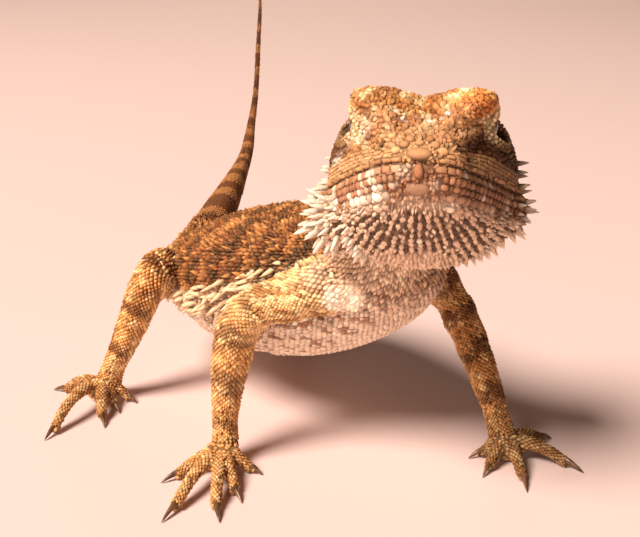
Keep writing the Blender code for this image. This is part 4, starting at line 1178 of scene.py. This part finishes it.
def markingsAndPaintedLight(points, out):
    # the colour of the hide at each point, painted light and shade among its markings: trunk and tail, then each
    # limb where it is the nearest form, the cream spot, and the head
    found = alongForms(points)
    ratio = np.stack([form[1] for form in found.values()])
    ratio[0] = ratio[0] * 0.92 + 9 * smooth(8.0, 6.0, points[:, 2])
    blotch = ripple(points, 5.5, 21) + 0.6 * ripple(points, 2.4, 22)
    fleck = ripple(points, 1.3, 23)
    down = smooth(0.05, -0.55, out[:, 2])
    colour = trunkColour(points, found["trunk"], blotch, fleck, down)
    for k, name in enumerate(limbForms, 1):
        limb = limbColour(points, name, k, found[name][0], blotch, fleck, down)
        colour = mix(colour, limb, smooth(0.12, -0.12, ratio[k] - np.delete(ratio, k, 0).min(0)))
    colour = stain(colour, "spot", spotShare(points))
    s, v, w = headPlace(points)
    headward = smooth(28.5, 25.0, s) * smooth(16.5, 14.0, np.abs(v)) * smooth(-15.5, -13.0, w)
    return np.clip(mix(colour, headColour(points, s, v, w, blotch, fleck), headward), 0.002, 1)


def paintSkin():
    # the skin between the scales is darker than they are: 0.3 of their tone, and up to 0.55 on head and belly;
    # painted shade in the eyes' openings
    mesh = skin.data
    points, out = coordinates(mesh), normalsOf(mesh)
    s, v, w = headPlace(points)
    onHead = smooth(28, 25, s) * smooth(16, 14, np.abs(v)) * smooth(-15.5, -13, w)
    tone = 0.3 + 0.25 * np.maximum(onHead, smooth(0.0, -0.6, out[:, 2]))
    beard = within(w, -10.4, -9.2, -6.0, -4.9) * onHead
    colour = stain(markingsAndPaintedLight(points, out) * tone[:, None], "beardDark", beard * 0.7)
    colour = stain(colour, "spot", spotShare(points), 0.9)
    # painted shade inside the eye's opening, round the eyeball
    for side in (1, -1):
        pit = smooth(1.15, 0.95, lengths(inHollow(points, "opening", side)))
        colour = stain(colour, "backDark", pit * 0.9, 0.6)
    setTint(mesh, colour)


coatLook = {
    # how much the tone varies from scale to scale, the painted shade at a scale's root, and the slot
    "coat_arms": (0.2, 0.34, "arm"), "coat_back": (0.34, 0.16, "back"),
    "coat_beard": (0.16, 0.3, "throat"), "coat_belly": (0.12, 0.64, "throat"),
    "coat_crown": (0.2, 0.38, "crown"), "coat_feet": (0.12, 0.16, "digit"),
    "coat_fill": (0.12, 0.16, "neck"), "coat_fringe": (0.12, 0.4, "throat"),
    "coat_hands": (0.12, 0.16, "digit"), "coat_legs": (0.24, 0.3, "leg"),
    "coat_lids": (0.12, 0.4, "crown"), "coat_lips": (0.22, 0.46, "crown"),
    "coat_neck": (0.28, 0.16, "neck"), "coat_spines": (0.12, 0.4, "throat"),
    "coat_tail": (0.12, 0.16, "tail"), "coat_tubercles": (0.3, 0.16, "back"),
}
# the share of painted highlight on the top of each scale
tipHighlightShare = 0.14


def kindTint(base, kind, root):
    # some blocks go towards a tint of their own: cream spines, less cream on the left side as painted shade, the
    # fringe, dark dashes, pale tubercles
    n = len(base)
    if kind == "cream":
        # painted shade: the spines on the head's left side keep more of the darker hide
        return stain(base, "spot", 0.8 - 0.5 * (headPlace(root)[1] > 0))
    if kind == "fringe":
        return stain(base, "fringe", np.full(n, 0.85))
    if kind == "dark":
        return stain(base, "beardDark", np.full(n, 0.95))
    if kind == "pale":
        return stain(base, "backPale", rng.uniform(0.1, 0.95, n), 1.25)
    return base


def coatPiece(name, blocks):
    # joins the blocks of one coat into a mesh; each block has its own band of the bake, and each scale a
    # patch there at its t and a; the tint rises from the root's painted shade to 1.1 of the hide's at the tip,
    # with a painted highlight on the top
    vary, rootShade, _ = coatLook[name]
    points, faces, uvs, colours, start = [], [], [], [], 0
    for k, block in enumerate(blocks):
        n, m = block["points"].shape[:2]
        root, atlas = block["root"], block["atlas"]
        points.append(block["points"].reshape(-1, 3))
        faces.append((start + (np.arange(n) * m)[:, None, None] + block["faces"]).reshape(-1, 3))
        start += n * m
        place = (atlas - atlas.min(0)) / np.maximum(np.ptp(atlas, axis=0), 1e-6) * 0.985 + 0.005
        place[:, 1] = (k + 0.03 + 0.94 * place[:, 1]) / len(blocks)
        uvs.append((place[:, None] + block["patch"]).reshape(-1, 2))
        cream = spotShare(root)
        base = markingsAndPaintedLight(root, block["out"]) * np.exp(rng.normal(0, vary, n) * (1 - 0.8 * cream))[:, None]
        base = kindTint(base, block["kind"], root)
        # little painted shade at the roots inside the cream spot
        low = rootShade + (0.9 - rootShade) * cream[:, None, None]
        rise = block["high"][None, :, None]
        # painted shade at each scale's root, lighter towards its top
        shade = base[:, None] * (low + (1.1 - low) * np.clip(rise, 0, 1))
        # painted highlight: the top of each scale goes towards a warm highlight tint
        shade = shade + (tints["tipHighlight"] - shade) * np.clip(rise - 0.5, 0, 1) * tipHighlightShare
        colours.append(np.clip(shade, 0, 1).reshape(-1, 3))
    faces = np.vstack(faces)
    mesh = makeMesh(name, np.vstack(points), faces)
    layer = mesh.uv_layers.new(name="OFBake")
    layer.data.foreach_set("uv", np.vstack(uvs)[faces.ravel()].astype(np.float32).ravel())
    setTint(mesh, np.vstack(colours))
    tell(f"{name} {sum(len(block['root']) for block in blocks)} scales, {len(faces)} triangles")
    return makeObject(name, mesh)


# materials
def newMaterial(name):
    material = bpy.data.materials.new(name)
    material.use_nodes = True
    return material, material.node_tree, material.node_tree.nodes["Principled BSDF"]


def addNode(tree, kind, constants, **sources):
    # a node with constants on its sockets, and links into the sockets that the sources name
    node = tree.nodes.new("ShaderNode" + kind)
    for socket, value in constants.items():
        node.inputs[socket].default_value = value
    for socket, output in sources.items():
        tree.links.new(output, node.inputs[socket])
    return node


def addNoise(tree, scale, detail):
    # noise in object coordinates
    place = addNode(tree, "TexCoord", {}).outputs["Object"]
    return addNode(tree, "TexNoise", {"Scale": scale, "Detail": detail}, Vector=place).outputs["Fac"]


def addTint(tree):
    tint = addNode(tree, "Attribute", {})
    tint.attribute_name = "tint"
    return tint.outputs["Color"]


def addRange(tree, fac, low, high, start=0.0, stop=1.0):
    # start to stop becomes low to high
    limits = {"From Min": start, "From Max": stop, "To Min": low, "To Max": high}
    return addNode(tree, "MapRange", limits, Value=fac).outputs["Result"]


def finish(tree, shader, constants, bump=None, **sources):
    # constants and links of the shader itself, and bump of a strength and a depth from a noise
    for socket, value in constants.items():
        shader.inputs[socket].default_value = value
    if bump:
        fac, strength, depth = bump
        bumps = addNode(tree, "Bump", {"Strength": strength, "Distance": depth}, Height=fac)
        tree.links.new(bumps.outputs["Normal"], shader.inputs["Normal"])
    for socket, output in sources.items():
        tree.links.new(output, shader.inputs[socket])


hides = {
    "skin_hide": {"grain": 2600.0, "tone": (0.8, 1.15), "rough": (0.6, 0.85),
        "bump": (0.35, 0.00006), "shine": 0.2},
    "scale_hide": {"grain": 1900.0, "tone": (0.84, 1.14), "rough": (0.5, 0.75),
        "bump": (0.3, 0.00005), "shine": 0.22},
}
eyeFinish = {"grain": 3200.0, "rough": (0.04, 0.12), "coat": 0.5, "coatRough": 0.03}
clawFinish = {"grain": 900.0, "dark": (0.35, (0.045, 0.02, 0.011, 1)), "pale": (0.7, (0.22, 0.11, 0.05, 1)),
              "bump": (0.25, 0.00005), "rough": 0.28}


def hideMaterial(name):
    # the tint times a tone from fine noise, which also sets roughness and bump
    settings = hides[name]
    material, tree, shader = newMaterial(name)
    grain = addNoise(tree, settings["grain"], 4.0)
    blend = tree.nodes.new("ShaderNodeMix")
    blend.data_type, blend.blend_type = "RGBA", "MULTIPLY"
    blend.inputs["Factor"].default_value = 1.0
    tree.links.new(addTint(tree), blend.inputs["A"])
    tree.links.new(addRange(tree, grain, *settings["tone"], 0.3, 0.7), blend.inputs["B"])
    tree.links.new(blend.outputs["Result"], shader.inputs["Base Color"])
    finish(tree, shader, {"Specular IOR Level": settings["shine"]}, (grain, *settings["bump"]),
           Roughness=addRange(tree, grain, *settings["rough"]))
    return material


def eyeMaterial():
    # the tint under a clear coat, with faint noise in its gloss
    material, tree, shader = newMaterial("wet_eye")
    gloss = addRange(tree, addNoise(tree, eyeFinish["grain"], 2.0), *eyeFinish["rough"])
    tree.links.new(addTint(tree), shader.inputs["Base Color"])
    coat = {"Coat Weight": eyeFinish["coat"], "Coat Roughness": eyeFinish["coatRough"]}
    finish(tree, shader, coat, Roughness=gloss)
    return material


def clawMaterial():
    # noise runs from dark horn to paler streaks
    material, tree, shader = newMaterial("claw_horn")
    grain = addNoise(tree, clawFinish["grain"], 5.0)
    ramp = addNode(tree, "ValToRGB", {}, Fac=grain)
    for stop, (place, colour) in zip(ramp.color_ramp.elements, (clawFinish["dark"], clawFinish["pale"])):
        stop.position, stop.color = place, colour
    tree.links.new(ramp.outputs["Color"], shader.inputs["Base Color"])
    finish(tree, shader, {"Roughness": clawFinish["rough"]}, (grain, *clawFinish["bump"]))
    return material


# make the coat
coverMuzzle()
coverLids()
for lipRowSizes in lipRows:
    lipRow(*lipRowSizes)
coverBeard()
tell(f"face {sum(len(block['root']) for block in allBlocks())} scales")
coverTrunk()
coverLimbs()
coverToes()
tell(f"body {sum(len(block['root']) for block in allBlocks())} scales")
coverLoose()
growSpines()
growFringe()
growTubercles()
paintSkin()
skin.data.materials.append(hideMaterial("skin_hide"))
scaleHide = hideMaterial("scale_hide")
coatPieces = [coatPiece(name, blocks) for name, blocks in sorted(coats.items())]
for piece in coatPieces:
    piece.data.materials.append(scaleHide)


# eyes
eyeShape = {"sides": 48, "front": (0.03, 1.1, 30), "back": (1.2, math.pi - 0.06, 14), "gap": 0.05,
            "forward": 0.25, "up": 0.10, "bulge": 0.05, "bulgeWide": 0.6}


def makeEye(side, name):
    # rings round the gaze, with a shallow bulge of cornea: r = R (1 + 0.05 exp(-(angle / 0.6)^2))
    es, ev, ew = head["eye"]
    centre = inHead(es, ev * side, ew)
    gaze = unit(headLeft * side + headFront * eyeShape["forward"] + headUp * eyeShape["up"])
    across = unit(np.cross(headUp, gaze))
    angle = np.concatenate([np.linspace(*eyeShape["front"]), np.linspace(*eyeShape["back"])])
    turn = around(eyeShape["sides"])
    cornea = 1 + eyeShape["bulge"] * bell(angle, 0.0, eyeShape["bulgeWide"])
    radius = (head["eyeRadius"] - eyeShape["gap"]) * cornea
    ring = np.stack([np.outer(np.sin(angle), np.cos(turn)), np.outer(np.sin(angle), np.sin(turn)),
                     np.cos(angle)[:, None] + 0 * turn], -1)
    grid = centre + (ring * radius[:, None, None]) @ np.array([across, np.cross(gaze, across), gaze])
    ends = centre + gaze * radius[0], centre - gaze * radius[-1]
    mesh = makeMesh(name, *stitch([(grid, ends)]))
    # streaks of the iris, its bright rim, the dark ball and the pupil, by the angle from the gaze
    angles = np.concatenate([np.repeat(angle, len(turn)), [0, math.pi]])
    turns = np.concatenate([np.tile(turn, len(angle)), [0, 0]])
    streak = 0.5 + 0.5 * np.sin(turns * 17 + 3 * np.sin(turns * 5)) * np.sin(angles * 26 + turns * 3)
    colour = stain(tints["iris"], "irisPale", streak * smooth(0.3, 0.6, angles))
    colour = stain(colour, "irisRim", bell(angles, 0.36, 0.05))
    colour = stain(colour, "eyeball", smooth(0.74, 0.9, angles))
    setTint(mesh, stain(colour, "pupil", smooth(0.34, 0.29, angles)))
    return makeObject(name, mesh)


wetEye = eyeMaterial()
eyes = {"eye_left": makeEye(1, "eyeball_left"), "eye_right": makeEye(-1, "eyeball_right")}
for eye in eyes.values():
    eye.data.materials.append(wetEye)


# claws
clawShape = {"rings": 16, "sides": 12, "root": 0.52, "tip": 0.06, "taper": 0.8, "hook": 0.3, "narrow": 0.82,
             "into": 0.12, "high": 0.82, "lowest": 0.02}
clawNames = {"armRight": ("claws_hand_right", "hand_claw_right"),
             "armLeft": ("claws_hand_left", "hand_claw_left"),
             "legRight": ("claws_foot_right", "foot_claw_right"),
             "legLeft": ("claws_foot_left", "foot_claw_left")}


def clawGrid(name, k):
    # a curved cone: r = R (1 - q)^0.8 + 0.06 along a path that arches, then comes down to the point
    end, point = np.array(feet[name][3][k][0]), np.array(feet[name][3][k][1])
    thick = toeShape["outer"] if k in (0, 4) else 1.0
    q = np.linspace(0, 1, clawShape["rings"])
    flat = end + (point - end) * (-clawShape["into"] + 1.12 * q)[:, None]
    arch = clawShape["hook"] * np.sin(math.pi * q**0.8) * 0.8
    path = np.column_stack([flat, clawShape["high"] * thick * (1 - q) ** 1.1 + 0.30 + arch - 0.12 * q])
    way = unit(np.gradient(path, axis=0))
    left = unit(np.cross([0, 0, 1.0], way))
    up = np.cross(way, left)
    a = around(clawShape["sides"])
    r = (clawShape["root"] * thick * (1 - q) ** clawShape["taper"] + clawShape["tip"])[:, None]
    grid = path[:, None] + left[:, None] * (clawShape["narrow"] * r * np.cos(a))[..., None]
    grid = grid + up[:, None] * (r * np.sin(a))[..., None]
    grid[..., 2] = np.maximum(grid[..., 2], clawShape["lowest"])
    return grid, (path[0] - way[0] * 0.2, path[-1] + way[-1] * 0.12)


clawHorn = clawMaterial()
claws = {}
for limbName, (pieceName, nodeName) in clawNames.items():
    grids = [clawGrid(limbName, k) for k in range(5)]
    claws[nodeName] = makeObject(pieceName, makeMesh(pieceName, *stitch(grids)))
    claws[nodeName].data.materials.append(clawHorn)


# what each piece stands for
fleshNodes = [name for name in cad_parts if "claw" not in name and not name.startswith("eye")]
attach(skin, "root")
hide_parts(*fleshNodes)
for piece in coatPieces:
    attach(piece, "root")
for node, eye in eyes.items():
    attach(eye, "root")
    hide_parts(node)
for nodeName, piece in claws.items():
    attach(piece, "root")
    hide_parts(*[f"{nodeName}_{k}" for k in range(1, 6)])


# floor, light and camera
studio = {
    "floor": (0.65, 0.50, 0.485), "floorSide": 9.0, "world": (1.0, 0.46, 0.26), "worldStrength": 0.06,
    # place, size and power of each lamp, in metres and watts, with its colour
    "lamps": [
        ((-1.24, -0.06, 1.51), 0.80, 80.0, (1.0, 0.87, 0.74)),
        ((-0.80, -0.60, 0.16), 0.40, 2.4, (1.0, 0.84, 0.70)),
        ((0.95, 1.15, 0.60), 0.80, 5.0, (1.0, 0.80, 0.64))],
    "aim": (0, 0, 0.025),
}
view = {"place": (-0.1144, -0.1625, 0.0760), "turn": 38.3, "dip": 18.7, "lens": 58.5, "sensor": 36.0,
        "near": 0.005}


def aimAlong(thing, way):
    thing.rotation_euler = Vector(way).to_track_quat("-Z", "Y").to_euler()


def makeStudio():
    # a wide floor sheet at z = 0, a dim warm world and three round lamps aimed at the animal
    side = studio["floorSide"]
    sheet = bpy.data.meshes.new("studio_floor")
    corners = [(-side, -side, 0), (side, -side, 0), (side, side, 0), (-side, side, 0)]
    sheet.from_pydata(corners, [], [(0, 1, 2, 3)])
    material, tree, shader = newMaterial("floor_matt")
    finish(tree, shader, {"Base Color": (*studio["floor"], 1), "Roughness": 0.9})
    sheet.materials.append(material)
    floor = makeObject("studio_floor", sheet)
    world = bpy.data.worlds.new("studio")
    world.use_nodes = True
    background = world.node_tree.nodes["Background"]
    background.inputs["Color"].default_value = (*studio["world"], 1)
    background.inputs["Strength"].default_value = studio["worldStrength"]
    bpy.context.scene.world = world
    for k, (place, size, power, colour) in enumerate(studio["lamps"]):
        light = bpy.data.lights.new(f"lamp_{k}", "AREA")
        light.shape, light.size, light.energy, light.color = "DISK", size, power, colour
        lamp = makeObject(f"lamp_{k}", light)
        lamp.location = place
        aimAlong(lamp, Vector(studio["aim"]) - Vector(place))


def makeCamera():
    # looks along sin(turn), cos(turn), dipped below the horizon
    lens = bpy.data.cameras.new("camera")
    lens.sensor_width, lens.lens, lens.clip_start = view["sensor"], view["lens"], view["near"]
    camera = makeObject("camera", lens)
    camera.location = view["place"]
    turn, dip = math.radians(view["turn"]), math.radians(view["dip"])
    aimAlong(camera, (math.sin(turn) * math.cos(dip), math.cos(turn) * math.cos(dip), -math.sin(dip)))
    bpy.context.scene.camera = camera
    bpy.context.scene.view_settings.view_transform = "Standard"


makeStudio()
makeCamera()
